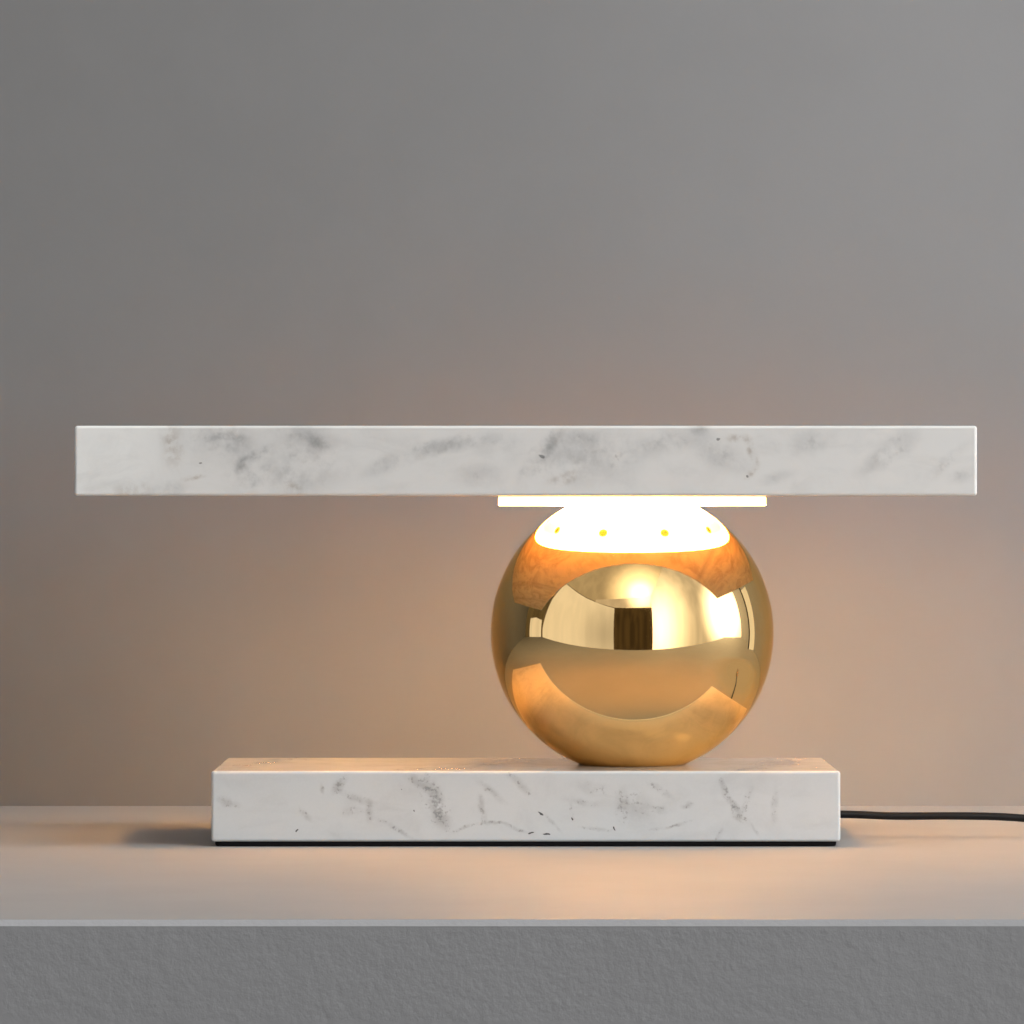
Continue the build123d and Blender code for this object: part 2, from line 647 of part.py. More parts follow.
def biarc(start, start_way, end, end_way):
    """Two tangent arcs from one point and direction to another."""
    chord = end - start
    both = start_way + end_way
    bend = 2 * (1 - start_way.dot(end_way))
    along = chord.dot(both)
    reach = (math.sqrt(along**2 + bend * chord.dot(chord)) - along) / bend
    left = start + start_way * reach
    right = end - end_way * reach
    middle = (left + right) / 2
    return [
        Edge.make_tangent_arc(start, start_way, middle),
        Edge.make_tangent_arc(middle, right - left, end),
    ]


def coil_path():
    quarters = COIL_LAYERS * LAYER_QUARTERS + (COIL_LAYERS - 1) * CLIMB_QUARTERS
    stations = [coil_station(index * math.pi / 2) for index in range(quarters + 1)]
    stations[0] = (stations[0][0], Vector(1, 0, 0))
    stations[-1] = (stations[-1][0], Vector(-1, 0, 0))
    lead = 2 * CORD_RADIUS
    edges = [Edge.make_line(stations[0][0] - stations[0][1] * lead, stations[0][0])]
    for (start, start_way), (end, end_way) in zip(stations, stations[1:]):
        edges += biarc(start, start_way, end, end_way)
    edges.append(Edge.make_line(stations[-1][0], stations[-1][0] + stations[-1][1] * lead))
    return Wire(edges)


def least_gap(path):
    """Smallest gap between stretches of the coil that are more than half a turn apart."""
    count = int(path.length / POINT_STEP)
    points = [tuple(path.position_at(index / count)) for index in range(count + 1)]
    apart = int(math.pi * COIL_INNER / POINT_STEP)
    pairs = ((a, b) for index, a in enumerate(points) for b in points[index + apart:])
    return min(math.dist(a, b) for a, b in pairs) - 2 * CORD_RADIUS


def cord_coil():
    path = coil_path()
    start = Plane(origin=path.position_at(0), z_dir=path.tangent_at(0))
    coil = sweep(start * Circle(CORD_RADIUS), path=path)
    share = coil.volume / (math.pi * CORD_RADIUS**2 * path.length)
    print("cord_coil length", round(path.length, 1), "volume share", round(share, 4))
    print("cord_coil least gap", round(least_gap(path), 3))
    return coil


def cord_tie():
    """A strap round the turns, on the side of the coil away from the lamp."""
    inner_start = COIL_INNER - CORD_RADIUS - COIL_RATE - 2 * RUNNING
    inner_end = COIL_OUTER + CORD_RADIUS + COIL_RATE + RUNNING
    inner_top = COIL_BOTTOM + (COIL_LAYERS - 1) * COIL_PITCH + CORD_RADIUS + RUNNING
    width = inner_end - inner_start
    middle = (inner_start + inner_end) / 2
    outside = block(width + 2 * TIE_SHEET, TIE_WIDTH, 0, inner_top + TIE_SHEET, middle)
    inside = block(width, TIE_WIDTH + OVERRUN, TIE_SHEET, inner_top, middle)
    outside = fillet(outside.edges().filter_by(Axis.Y), TIE_CORNER)
    inside = fillet(inside.edges().filter_by(Axis.Y), TIE_CORNER - TIE_SHEET)
    return Pos(COIL_X, COIL_Y, 0) * (outside - inside)


# In-line switch, made about its own middle and then set on the cord

def on_cord(shape):
    return Pos(SWITCH_X, 0, 0) * shape


def switch_outline(inset, bottom, top):
    outline = RectangleRounded(SWITCH_LENGTH - 2 * inset, SWITCH_WIDTH - 2 * inset, SWITCH_CORNER - inset)
    return Pos(0, 0, bottom) * extrude(outline, top - bottom)


def post_places():
    return [(-POST_REACH, -POST_OFFSET), (POST_REACH, -POST_OFFSET)]


def switch_cord_holes():
    return bar(CORD_BORE, -SWITCH_LENGTH, SWITCH_LENGTH, z=SWITCH_SPLIT)


def switch_base():
    shell = switch_outline(0, 0, SWITCH_SPLIT)
    shell = fillet(shell.faces().sort_by(Axis.Z)[0].edges(), SWITCH_FOOT_EDGE)
    shell -= switch_outline(SWITCH_WALL, SWITCH_WALL, SWITCH_SPLIT + OVERRUN)
    for x, y in post_places():
        shell += column(POST_RADIUS, SWITCH_WALL, SWITCH_SPLIT, x, y)
        shell -= column(SWITCH_HEAD_RADIUS + FIT, -OVERRUN, SWITCH_HEAD_RECESS, x, y)
        shell -= column(SWITCH_SCREW_RADIUS + FIT, 0, SWITCH_SPLIT + OVERRUN, x, y)
    return on_cord(shell - switch_cord_holes())


def switch_cover():
    shell = switch_outline(0, SWITCH_SPLIT, SWITCH_HEIGHT)
    shell = fillet(shell.faces().sort_by(Axis.Z)[-1].edges(), SWITCH_EDGE)
    shell -= switch_outline(SWITCH_WALL, SWITCH_SPLIT - OVERRUN, SWITCH_TOP_INSIDE)
    slot_length = 2 * (ROCKER_RADIUS + RUNNING)
    slot_width = ROCKER_WIDTH + 2 * RUNNING
    shell -= block(slot_length, slot_width, SWITCH_SPLIT, SWITCH_HEIGHT + OVERRUN)
    for side in (-1, 1):
        ear_y = side * (slot_width + EAR_WIDTH) / 2
        shell += block(EAR_LENGTH, EAR_WIDTH, PIN_HEIGHT - EAR_DROP, SWITCH_TOP_INSIDE, 0, ear_y)
    pin_hole = Cylinder(PIN_RADIUS + SEAT, SWITCH_WIDTH - 2 * SWITCH_WALL)
    shell -= Pos(0, 0, PIN_HEIGHT) * Rot(90, 0, 0) * pin_hole
    for x, y in post_places():
        shell += column(POST_RADIUS, SWITCH_SPLIT, SWITCH_TOP_INSIDE, x, y)
        screw_top = SWITCH_HEAD_RECESS + SWITCH_SCREW_LENGTH
        shell -= column(SWITCH_SCREW_RADIUS + SEAT, SWITCH_SPLIT - OVERRUN, screw_top + SEAT, x, y)
    return on_cord(shell - switch_cord_holes())


def switch_screws():
    screws = []
    for x, y in post_places():
        head_bottom = SWITCH_HEAD_RECESS - SWITCH_HEAD_HEIGHT
        screw_top = SWITCH_HEAD_RECESS + SWITCH_SCREW_LENGTH
        screw = column(SWITCH_HEAD_RADIUS, head_bottom, SWITCH_HEAD_RECESS, x, y)
        screw += column(SWITCH_SCREW_RADIUS, SWITCH_HEAD_RECESS, screw_top, x, y)
        slot_top = head_bottom + SWITCH_HEAD_HEIGHT / 2
        screw -= block(2 * SWITCH_HEAD_RADIUS, SWITCH_SCREW_RADIUS / 2, 0, slot_top, x, y)
        screws.append(on_cord(screw))
    return joined(screws)


def rocker_pin():
    length = ROCKER_WIDTH + 2 * RUNNING + 2 * EAR_WIDTH
    return on_cord(Pos(0, 0, PIN_HEIGHT) * Rot(90, 0, 0) * Cylinder(PIN_RADIUS, length))


def at_rocker(shape):
    """Tilt a shape made about the pin to the lit position and set it on the pin."""
    return on_cord(Pos(0, 0, PIN_HEIGHT) * Rot(0, ROCKER_TILT, 0) * shape)


def switch_rocker():
    rocker = Rot(90, 0, 0) * Cylinder(ROCKER_RADIUS, ROCKER_WIDTH)
    rocker -= block(2 * ROCKER_RADIUS, 2 * ROCKER_WIDTH, -ROCKER_RADIUS, -ROCKER_SKIRT)
    for side, align in ((1, Align.MIN), (-1, Align.MAX)):
        aligns = (align, Align.CENTER, Align.MIN)
        above = Box(2 * ROCKER_RADIUS, 2 * ROCKER_WIDTH, ROCKER_RADIUS, align=aligns)
        rocker -= Pos(0, 0, ROCKER_DISH) * Rot(0, -side * ROCKER_TILT, 0) * above
    rocker -= Rot(90, 0, 0) * Cylinder(PIN_RADIUS + SEAT, 2 * ROCKER_WIDTH)
    bore = column(PLUNGER_RADIUS + SEAT, -ROCKER_SKIRT - OVERRUN, -ROCKER_SKIRT + PLUNGER_BORE_DEPTH, 0)
    return at_rocker(rocker - bore)


def switch_plunger():
    top = PLUNGER_BORE_DEPTH - ROCKER_SKIRT
    plunger = column(PLUNGER_RADIUS, PLUNGER_RADIUS - PLUNGER_REACH, top, 0)
    plunger += Pos(0, 0, PLUNGER_RADIUS - PLUNGER_REACH) * Sphere(PLUNGER_RADIUS)
    return at_rocker(plunger)


def contact_seesaw():
    plate = block(SEESAW_LENGTH, SEESAW_WIDTH, 0, SEESAW_SHEET)
    for x in (-BUTTON_REACH, BUTTON_REACH):
        plate += column(BUTTON_RADIUS, -BUTTON_HEIGHT, SEESAW_SHEET / 2, x)
    plate -= Rot(90, 0, 0) * Cylinder(FULCRUM_RADIUS + SEAT, 2 * SEESAW_WIDTH)
    return on_cord(Pos(0, 0, SEESAW_PIVOT) * Rot(0, -SEESAW_TILT, 0) * plate)


def terminal_strip(start, end):
    top = SWITCH_WALL + TERMINAL_SHEET
    return block(end - start, SEESAW_WIDTH, SWITCH_WALL, top, (start + end) / 2)


def common_terminal():
    strip = terminal_strip(-KNIFE_WIDTH / 2, TERMINAL_LENGTH)
    foot = SWITCH_WALL + TERMINAL_SHEET
    outline = Polyline((-KNIFE_WIDTH / 2, foot), (KNIFE_WIDTH / 2, foot), (0, SEESAW_PIVOT), close=True)
    knife = extrude(Plane.XZ * make_face(outline), SEESAW_WIDTH / 2, both=True)
    fulcrum = Pos(0, 0, SEESAW_PIVOT) * Rot(90, 0, 0) * Cylinder(FULCRUM_RADIUS, SEESAW_WIDTH)
    return on_cord(strip + knife + fulcrum)


def line_terminal():
    tilt = math.radians(SEESAW_TILT)
    outer = BUTTON_REACH + BUTTON_RADIUS
    drop = outer * math.sin(tilt) + BUTTON_HEIGHT * math.cos(tilt) + SEAT
    strip = terminal_strip(-TERMINAL_LENGTH, -KNIFE_WIDTH / 2 - TERMINAL_GAP)
    return on_cord(strip + column(BUTTON_RADIUS, SWITCH_WALL, SEESAW_PIVOT - drop, -BUTTON_REACH))


def switch_wires():
    """The two live cores to the terminals and the core that runs past them."""
    end = SWITCH_LENGTH / 2 - CORD_INSET
    turn = end - CORE_RUN
    foot = SWITCH_WALL + TERMINAL_SHEET + CORE_RADIUS + SEAT
    half = CORE_SPACING / 2
    wires = []
    for side in (-1, 1):
        points = [
            (side * end, -half, SWITCH_SPLIT),
            (side * turn, -half, SWITCH_SPLIT),
            (side * (TERMINAL_LENGTH + CORE_RUN / 2), -half, foot),
            (side * (TERMINAL_LENGTH - CORE_RUN), -half, foot),
        ]
        wires.append(on_cord(tube(points, [CORE_BEND, CORE_BEND], CORE_RADIUS)))
    beside = turn - CORE_RUN
    points = [
        (-end, half, SWITCH_SPLIT),
        (-turn, half, SWITCH_SPLIT),
        (-beside, CORE_SIDE, SWITCH_SPLIT),
        (beside, CORE_SIDE, SWITCH_SPLIT),
        (turn, half, SWITCH_SPLIT),
        (end, half, SWITCH_SPLIT),
    ]
    wires.append(on_cord(tube(points, [CORE_BEND] * 4, CORE_RADIUS)))
    return joined(wires)


# Plug, from its cord end towards its pins

def plug_section(distance):
    """A plane across the plug, a given distance from its cord end."""
    origin = (PLUG_END[0] - distance, PLUG_END[1], PLUG_END[2])
    return Plane(origin=origin, x_dir=(0, 1, 0), z_dir=(-1, 0, 0))


def plug_face():
    return PLUG_SLEEVE_LENGTH + PLUG_NECK_LENGTH + PLUG_FACE_LENGTH


def plug_bar(radius, start, end, side):
    """A round bar along the plug at one of its pins."""
    return plug_section(start) * Pos(side * PIN_SPACING / 2, 0, 0) * Cylinder(radius, end - start, align=LOW)


def plug_sleeve():
    cone = Cone(PLUG_SLEEVE_TIP_RADIUS, PLUG_SLEEVE_RADIUS, PLUG_SLEEVE_LENGTH, align=LOW)
    return plug_section(0) * cone


def plug_body():
    neck = plug_section(PLUG_SLEEVE_LENGTH)
    shoulder = plug_section(PLUG_SLEEVE_LENGTH + PLUG_NECK_LENGTH)
    small = RectangleRounded(PLUG_NECK_WIDTH, PLUG_NECK_HEIGHT, PLUG_NECK_CORNER)
    large = RectangleRounded(PLUG_FACE_WIDTH, PLUG_FACE_HEIGHT, PLUG_FACE_CORNER)
    body = loft([neck * small, shoulder * large]) + shoulder * extrude(large, PLUG_FACE_LENGTH)
    for side in (-1, 1):
        body -= plug_bar(PIN_CORE_RADIUS, plug_face() - PLUG_PIN_ROOT, plug_face() + OVERRUN, side)
    return body


def plug_pins():
    face = plug_face()
    pins = []
    for side in (-1, 1):
        core = plug_bar(PIN_CORE_RADIUS, face - PLUG_PIN_ROOT, face + PIN_SLEEVE_LENGTH, side)
        bare = plug_bar(PLUG_PIN_RADIUS, face + PIN_SLEEVE_LENGTH, face + PLUG_PIN_LENGTH, side)
        bare = fillet(bare.edges().sort_by(Axis.X)[0], PLUG_PIN_TIP)
        pins.append(core + bare)
    return joined(pins)


def pin_sleeves():
    face = plug_face()
    sleeves = []
    for side in (-1, 1):
        sleeve = plug_bar(PLUG_PIN_RADIUS, face, face + PIN_SLEEVE_LENGTH, side)
        sleeves.append(sleeve - plug_bar(PIN_CORE_RADIUS, face - OVERRUN, face + PLUG_PIN_LENGTH, side))
    return joined(sleeves)


NODES = {
    "upper_slab": upper_slab(),
    "base_slab": base_slab(),
    "base_pad": base_pad(),
    "ball_shell": ball_shell(),
    "ball_top_cap": ball_plate(CAP_BOTTOM, BALL_TOP),
    "ball_foot_plate": ball_plate(BASE_TOP, FOOT_TOP),
    "wire_grommets": wire_grommets(),
    "centre_rod": centre_rod(),
    "rod_nuts": rod_nuts(),
    "rod_washers": rod_washers(),
    "mounting_flange": mounting_flange(),
    "flange_screws": flange_screws(),
    "flange_inserts": flange_inserts(),
    "light_disc": light_disc(),
    "reflector_film": reflector_film(),
    "disc_screws": disc_screws(),
    "disc_anchors": disc_anchors(),
    "led_hub": led_hub(),
    "led_strip": led_strip(),
    "led_chips": led_chips(),
    "led_wires": led_wires(),
    "driver_bracket": driver_bracket(),
    "driver_case": driver_case(),
    "driver_lid": driver_lid(),
    "driver_board": driver_board(),
    "driver_parts": driver_parts(),
    "driver_screws": driver_screws(),
    "inner_lead": inner_lead(),
    "cord_gland": cord_gland(),
    "lamp_cord": cord_tube("lamp_cord", LAMP_CORD_ROUTE),
    "switch_base": switch_base(),
    "switch_cover": switch_cover(),
    "switch_screws": switch_screws(),
    "switch_rocker": switch_rocker(),
    "switch_plunger": switch_plunger(),
    "rocker_pin": rocker_pin(),
    "contact_seesaw": contact_seesaw(),
    "common_terminal": common_terminal(),
    "line_terminal": line_terminal(),
    "switch_wires": switch_wires(),
    "coil_lead": cord_tube("coil_lead", COIL_LEAD_ROUTE),
    "cord_coil": cord_coil(),
    "cord_tie": cord_tie(),
    "plug_lead": cord_tube("plug_lead", PLUG_LEAD_ROUTE),
    "plug_sleeve": plug_sleeve(),
    "plug_body": plug_body(),
    "plug_pins": plug_pins(),
    "pin_sleeves": pin_sleeves(),
}

os.makedirs("parts", exist_ok=True)
for name, shape in NODES.items():
    export_step(shape, f"parts/{name}.step")
print(len(NODES), "nodes")
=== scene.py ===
import json
import math

import bmesh
import bpy
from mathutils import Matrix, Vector, noise


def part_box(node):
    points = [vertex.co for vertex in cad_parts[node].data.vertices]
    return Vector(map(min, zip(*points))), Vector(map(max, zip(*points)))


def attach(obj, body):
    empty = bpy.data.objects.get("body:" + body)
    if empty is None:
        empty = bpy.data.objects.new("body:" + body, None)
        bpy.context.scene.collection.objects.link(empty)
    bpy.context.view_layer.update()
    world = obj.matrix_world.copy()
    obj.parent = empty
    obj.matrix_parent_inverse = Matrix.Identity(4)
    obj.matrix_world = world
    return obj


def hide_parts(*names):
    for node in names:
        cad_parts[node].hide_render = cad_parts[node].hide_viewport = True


# Table lamp: a marble beam on a polished gold ball, which stands on a marble base.
# A lit disc lies between ball and beam. Everything is in metres, in the frame of the CAD model.

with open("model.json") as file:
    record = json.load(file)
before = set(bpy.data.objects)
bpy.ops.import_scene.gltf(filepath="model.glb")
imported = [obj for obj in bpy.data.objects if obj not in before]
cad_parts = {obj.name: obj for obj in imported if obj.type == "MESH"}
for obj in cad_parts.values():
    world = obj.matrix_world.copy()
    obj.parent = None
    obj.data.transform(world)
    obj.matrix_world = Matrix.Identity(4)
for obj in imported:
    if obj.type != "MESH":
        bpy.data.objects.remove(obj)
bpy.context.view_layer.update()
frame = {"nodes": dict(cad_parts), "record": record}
nodes = frame["nodes"]
scene = bpy.context.scene
scene.view_settings.view_transform = "Standard"

MM = 0.001
BALL_CENTRE = Vector((0.055, 0.0, 0.105823))
BALL_RADIUS = 0.073
BALL_WALL = 0.0012


# ---------------------------------------------------------------- camera

LENS_MM, SENSOR_MM, FARTHEST = 175.8, 36.0, 60.0
CAMERA_PLACE = (-0.0069, -2.5775, 0.168)

camera_data = bpy.data.cameras.new("camera")
camera_data.lens = LENS_MM
camera_data.sensor_width = SENSOR_MM
camera_data.clip_end = FARTHEST
camera = bpy.data.objects.new("camera", camera_data)
camera.location = CAMERA_PLACE
camera.rotation_euler = (math.radians(90), 0, 0)
scene.collection.objects.link(camera)
scene.camera = camera


# ---------------------------------------------------------------- material nodes

class Graph:
    """One material and short ways to add nodes to it."""

    def __init__(self, name, **fixed):
        self.material = bpy.data.materials.new(name)
        self.material.use_nodes = True
        self.tree = self.material.node_tree
        self.shader = self.tree.nodes["Principled BSDF"]
        for socket, value in fixed.items():
            self.put(self.shader.inputs[socket.replace("_", " ")], value)

    def put(self, socket, value):
        if isinstance(value, bpy.types.NodeSocket):
            self.tree.links.new(value, socket)
        elif isinstance(value, tuple) and len(value) == 3 and socket.type == "RGBA":
            socket.default_value = (*value, 1.0)
        else:
            socket.default_value = value

    def node(self, kind, inputs=(), **settings):
        made = self.tree.nodes.new("ShaderNode" + kind)
        for key, value in settings.items():
            setattr(made, key, value)
        for key, value in dict(inputs).items():
            self.put(made.inputs[key], value)
        return made

    def set(self, socket, value):
        self.put(self.shader.inputs[socket], value)

    def place(self):
        return self.node("TexCoord").outputs["Object"]

    def mapped(self, vector, scale, turn=(0, 0, 0)):
        made = self.node("Mapping", {"Vector": vector, "Scale": scale,
                                     "Rotation": tuple(math.radians(a) for a in turn)})
        return made.outputs[0]

    def noise(self, vector, scale, detail=3.0, rough=0.55, warp=0.0):
        made = self.node("TexNoise", {"Vector": vector, "Scale": scale, "Detail": detail,
                                      "Roughness": rough, "Distortion": warp})
        return made.outputs[0]

    def math(self, operation, a, b=0.0, clamp=False):
        return self.node("Math", {0: a, 1: b}, operation=operation, use_clamp=clamp).outputs[0]

    def ease(self, value, low, high, to_low=0.0, to_high=1.0):
        made = self.node("MapRange", {"Value": value, "From Min": low, "From Max": high,
                                      "To Min": to_low, "To Max": to_high}, interpolation_type="SMOOTHSTEP")
        return made.outputs["Result"]

    def mix(self, factor, a, b, blend="MIX"):
        made = self.node("Mix", {0: factor, 6: a, 7: b}, data_type="RGBA", blend_type=blend)
        return made.outputs[2]

    def ramp(self, value, stops):
        made = self.node("ValToRGB", {"Fac": value})
        points = made.color_ramp.elements
        while len(points) < len(stops):
            points.new(0.5)
        for point, (at, level) in zip(points, stops):
            point.position = at
            point.color = (level, level, level, 1.0)
        return made.outputs["Color"]

    def axes(self, vector):
        return self.node("SeparateXYZ", {0: vector}).outputs

    def bump(self, height, distance, strength):
        made = self.node("Bump", {"Height": height, "Distance": distance, "Strength": strength})
        self.set("Normal", made.outputs[0])

    def give_way(self, share, other):
        """Show another shader in place of the main one, by a share from 0 to 1."""
        made = self.node("MixShader", {0: share, 1: self.shader.outputs[0], 2: other})
        self.put(self.tree.nodes["Material Output"].inputs["Surface"], made.outputs[0])


def show(node, material):
    """Give a CAD node its material."""
    mesh = nodes[node].data
    mesh.materials.clear()
    mesh.materials.append(material)


# ---------------------------------------------------------------- materials of the lamp

MARBLE_GREY = (0.33, 0.335, 0.34)
MARBLE_DARK = (0.10, 0.10, 0.10)
MARBLE_BROWN = (0.34, 0.265, 0.195)
MARBLE_INNER = (0.44, 0.40, 0.34)
MARBLE_CRYSTAL = (0.80, 0.80, 0.79)
PIT_BLACK = (0.012, 0.012, 0.012)
GREY, BROWN, PIT = range(3)

# Noise in the marble: scales, and the range of the noise over which each layer comes in.
WOBBLES = ((45.0, 0.006), (230.0, 0.0022))      # scale, and how far it shifts a vein
VEIN_FADE = (0.1, 1.3)
STREAK_STRETCH, STREAK_TURN, STREAK_SCALE, STREAK_RANGE = (14, 14, 40), (0, 35, 0), 1.6, (0.48, 0.75)
CLOUD_SCALE, CLOUD_RANGE = 26.0, (0.46, 0.78)
MOTTLE_SCALE, MOTTLE_RANGE = 34.0, (0.42, 0.68)
BROKEN_RANGE, BROKEN_LEVELS = (0.36, 0.62), (0.15, 1.0)
SPECK_VEIN_RANGE, DUST_RANGE = (0.04, 0.34), (0.68, 0.80)
RUST_RANGE, RUST_LEVELS = (0.38, 0.62), (0.12, 0.8)
PIT_RANGE = (0.5, 0.75)
CRYSTAL_SCALE, CRYSTAL_RANGE, CRYSTAL_SHARE = 900.0, (0.35, 0.75), 0.10
POLISH_SCALE, POLISH_RANGE, POLISH_LEVELS = 60.0, (0.3, 0.8), (0.100, 0.103)
RELIEF_SCALE, RELIEF_DEPTH, RELIEF_SHARE = 700.0, 0.000002, 0.04
# Depths behind the front face over which the other faces' white, the streaks and the mottling come in.
OTHER_FACES_DEPTH, STREAK_DEPTH, MOTTLE_DEPTH = (0.0, 0.004), (0.001, 0.012), (0.002, 0.014)

# Veins on the front face: half width and strength, kind, and both ends as x, z in millimetres.
BEAM_VEINS = (
    (7.0, 0.46, BROWN, -177, 209, -175, 195),
    (2.2, 0.40, BROWN, -178, 203, -173, 197),
    (1.5, 0.80, BROWN, -170, 184.5, -160, 186),
    (8.0, 0.46, GREY, -166, 206, -141, 205),
    (7.0, 0.44, GREY, -152, 200, -138, 199),
    (2.6, 0.55, GREY, -156, 205, -141, 204.5),
    (3.0, 0.80, GREY, -130, 199, -145, 189),
    (9.0, 0.40, GREY, -146, 188, -130, 187),
    (2.6, 0.50, GREY, -139, 184, -135, 182),
    (8.0, 0.50, GREY, -120, 208, -98, 203),
    (3.6, 0.44, GREY, -107, 205.5, -99, 201),
    (12.0, 0.38, GREY, -124, 195, -96, 190),
    (9.0, 0.32, GREY, -125, 183, -108, 181),
    (3.0, 0.46, BROWN, -119, 179.5, -114, 180.5),
    (6.0, 0.40, BROWN, -202, 177, -192, 178.5),
    (5.0, 0.46, GREY, -185, 177, -172, 180),
    (0.8, 0.80, PIT, -162, 192.5, -161, 192.7),
    (5.5, 0.56, GREY, -78, 188, -53, 198.5),
    (4.5, 0.60, GREY, -56, 197.5, -22, 205),
    (6.0, 0.30, GREY, -21, 203, -4, 204.5),
    (7.0, 0.32, GREY, -29, 186, -16, 187),
    (4.5, 0.58, GREY, 17, 209, 6, 197),
    (4.5, 0.50, GREY, 8, 196, -1, 183),
    (1.4, 0.70, PIT, 6.5, 196.5, 8.5, 195),
    (17.0, 0.46, GREY, 12, 195, 44, 196),
    (3.2, 0.46, BROWN, 27, 187, 12, 183),
    (4.5, 0.36, GREY, 22, 206, 36, 205),
    (1.5, 0.55, PIT, 43, 201.5, 47, 190.5),
    (7.0, 0.36, GREY, 58, 199, 80, 205),
    (3.0, 0.50, GREY, 83, 209, 90, 210),
    (1.3, 0.95, PIT, 96.2, 205, 97, 205.2),
    (9.0, 0.40, GREY, 87, 204, 104, 193),
    (2.2, 0.62, BROWN, 102, 205, 110, 203.5),
    (2.2, 0.66, BROWN, 110, 203.5, 114.5, 191),
    (2.0, 0.66, BROWN, 114.5, 191, 109.5, 185.5),
    (1.2, 0.90, PIT, 109.4, 185.7, 110.1, 185.9),
    (4.0, 0.28, GREY, 119, 184, 131, 187),
    (7.0, 0.34, GREY, 138, 202, 149, 205),
    (7.0, 0.42, GREY, 175, 194, 191, 206),
    (6.0, 0.28, GREY, 168, 189, 178, 193),
    (3.6, 0.34, GREY, 199, 182, 222, 203),
    (5.0, 0.34, GREY, 213, 185, 221, 187),
)
BASE_VEINS = (
    (2.6, 0.62, GREY, -154, 24.5, -145, 20.5),
    (1.2, 0.60, GREY, -102, 31, -101.5, 27),
    (2.0, 0.58, GREY, -113.5, 19, -109, 14.5),
    (0.65, 1.00, PIT, -115.4, 7.4, -114.2, 9.1),
    (2.6, 0.66, GREY, -95, 28, -90, 35),
    (2.3, 0.60, GREY, -94, 28, -77, 21.5),
    (2.4, 0.56, GREY, -78.5, 22, -79, 14),
    (3.0, 0.34, GREY, -92, 17, -84, 18),
    (1.5, 0.66, GREY, -75, 13.5, -57, 5),
    (4.6, 0.56, GREY, -49, 34, -44, 21),
    (4.0, 0.60, GREY, -45, 22, -40.5, 10.5),
    (8.0, 0.32, GREY, -50, 33, -40, 10),
    (2.6, 0.56, GREY, -60, 36, -51, 31),
    (0.8, 0.70, PIT, -62, 28.5, -61.5, 28),
    (0.8, 0.70, PIT, -55.5, 18.5, -55, 18),
    (2.0, 0.58, GREY, -23, 26, -21, 12),
    (2.2, 0.52, GREY, -24, 32, -11, 22.5),
    (1.1, 0.60, GREY, -36, 7, -26, 11.5),
    (1.0, 0.60, GREY, -27, 11.5, -10, 12),
    (1.1, 0.60, GREY, -11.5, 12, 2, 6.5),
    (2.6, 0.44, GREY, -9, 36, 5, 26),
    (0.8, 1.00, PIT, 6.4, 18.5, 10, 15.6),
    (0.75, 1.00, PIT, 1.6, 6.4, 5, 6.2),
    (0.8, 1.00, PIT, 8.6, 6.1, 13, 5.4),
    (1.0, 0.46, GREY, 11, 16, 18, 6),
    (0.7, 1.00, PIT, 23.2, 13.8, 23.9, 12.6),
    (1.0, 0.46, GREY, 23, 22, 23.5, 13),
    (2.2, 0.50, GREY, 21, 23.5, 37, 21),
    (3.6, 0.36, GREY, 25, 31, 43, 27),
    (0.7, 1.00, PIT, 43.5, 9.6, 44.7, 6.6),
    (0.9, 0.44, GREY, 25, 10, 43, 7.5),
    (3.8, 0.48, GREY, 48.5, 27, 48.5, 12),
    (7.0, 0.40, GREY, 52, 26, 58, 18),
    (2.0, 0.46, GREY, 61, 33, 73, 24),
    (2.0, 0.60, GREY, 79, 20, 83, 21),
    (2.4, 0.38, GREY, 63, 19, 73, 18),
    (0.9, 0.48, GREY, 61, 8.2, 86, 14),
    (2.0, 0.76, GREY, 96, 36, 104, 20),
    (2.4, 0.66, GREY, 103.5, 21, 107, 14),
    (2.0, 0.66, GREY, 105.5, 14.5, 112.5, 10.5),
    (2.2, 0.56, GREY, 113, 28, 109, 16),
    (1.0, 0.46, GREY, 113, 11, 119, 4),
    (2.2, 0.44, GREY, 125.5, 29, 125, 13),
    (1.2, 0.50, GREY, 98.5, 11, 95, 4),
)


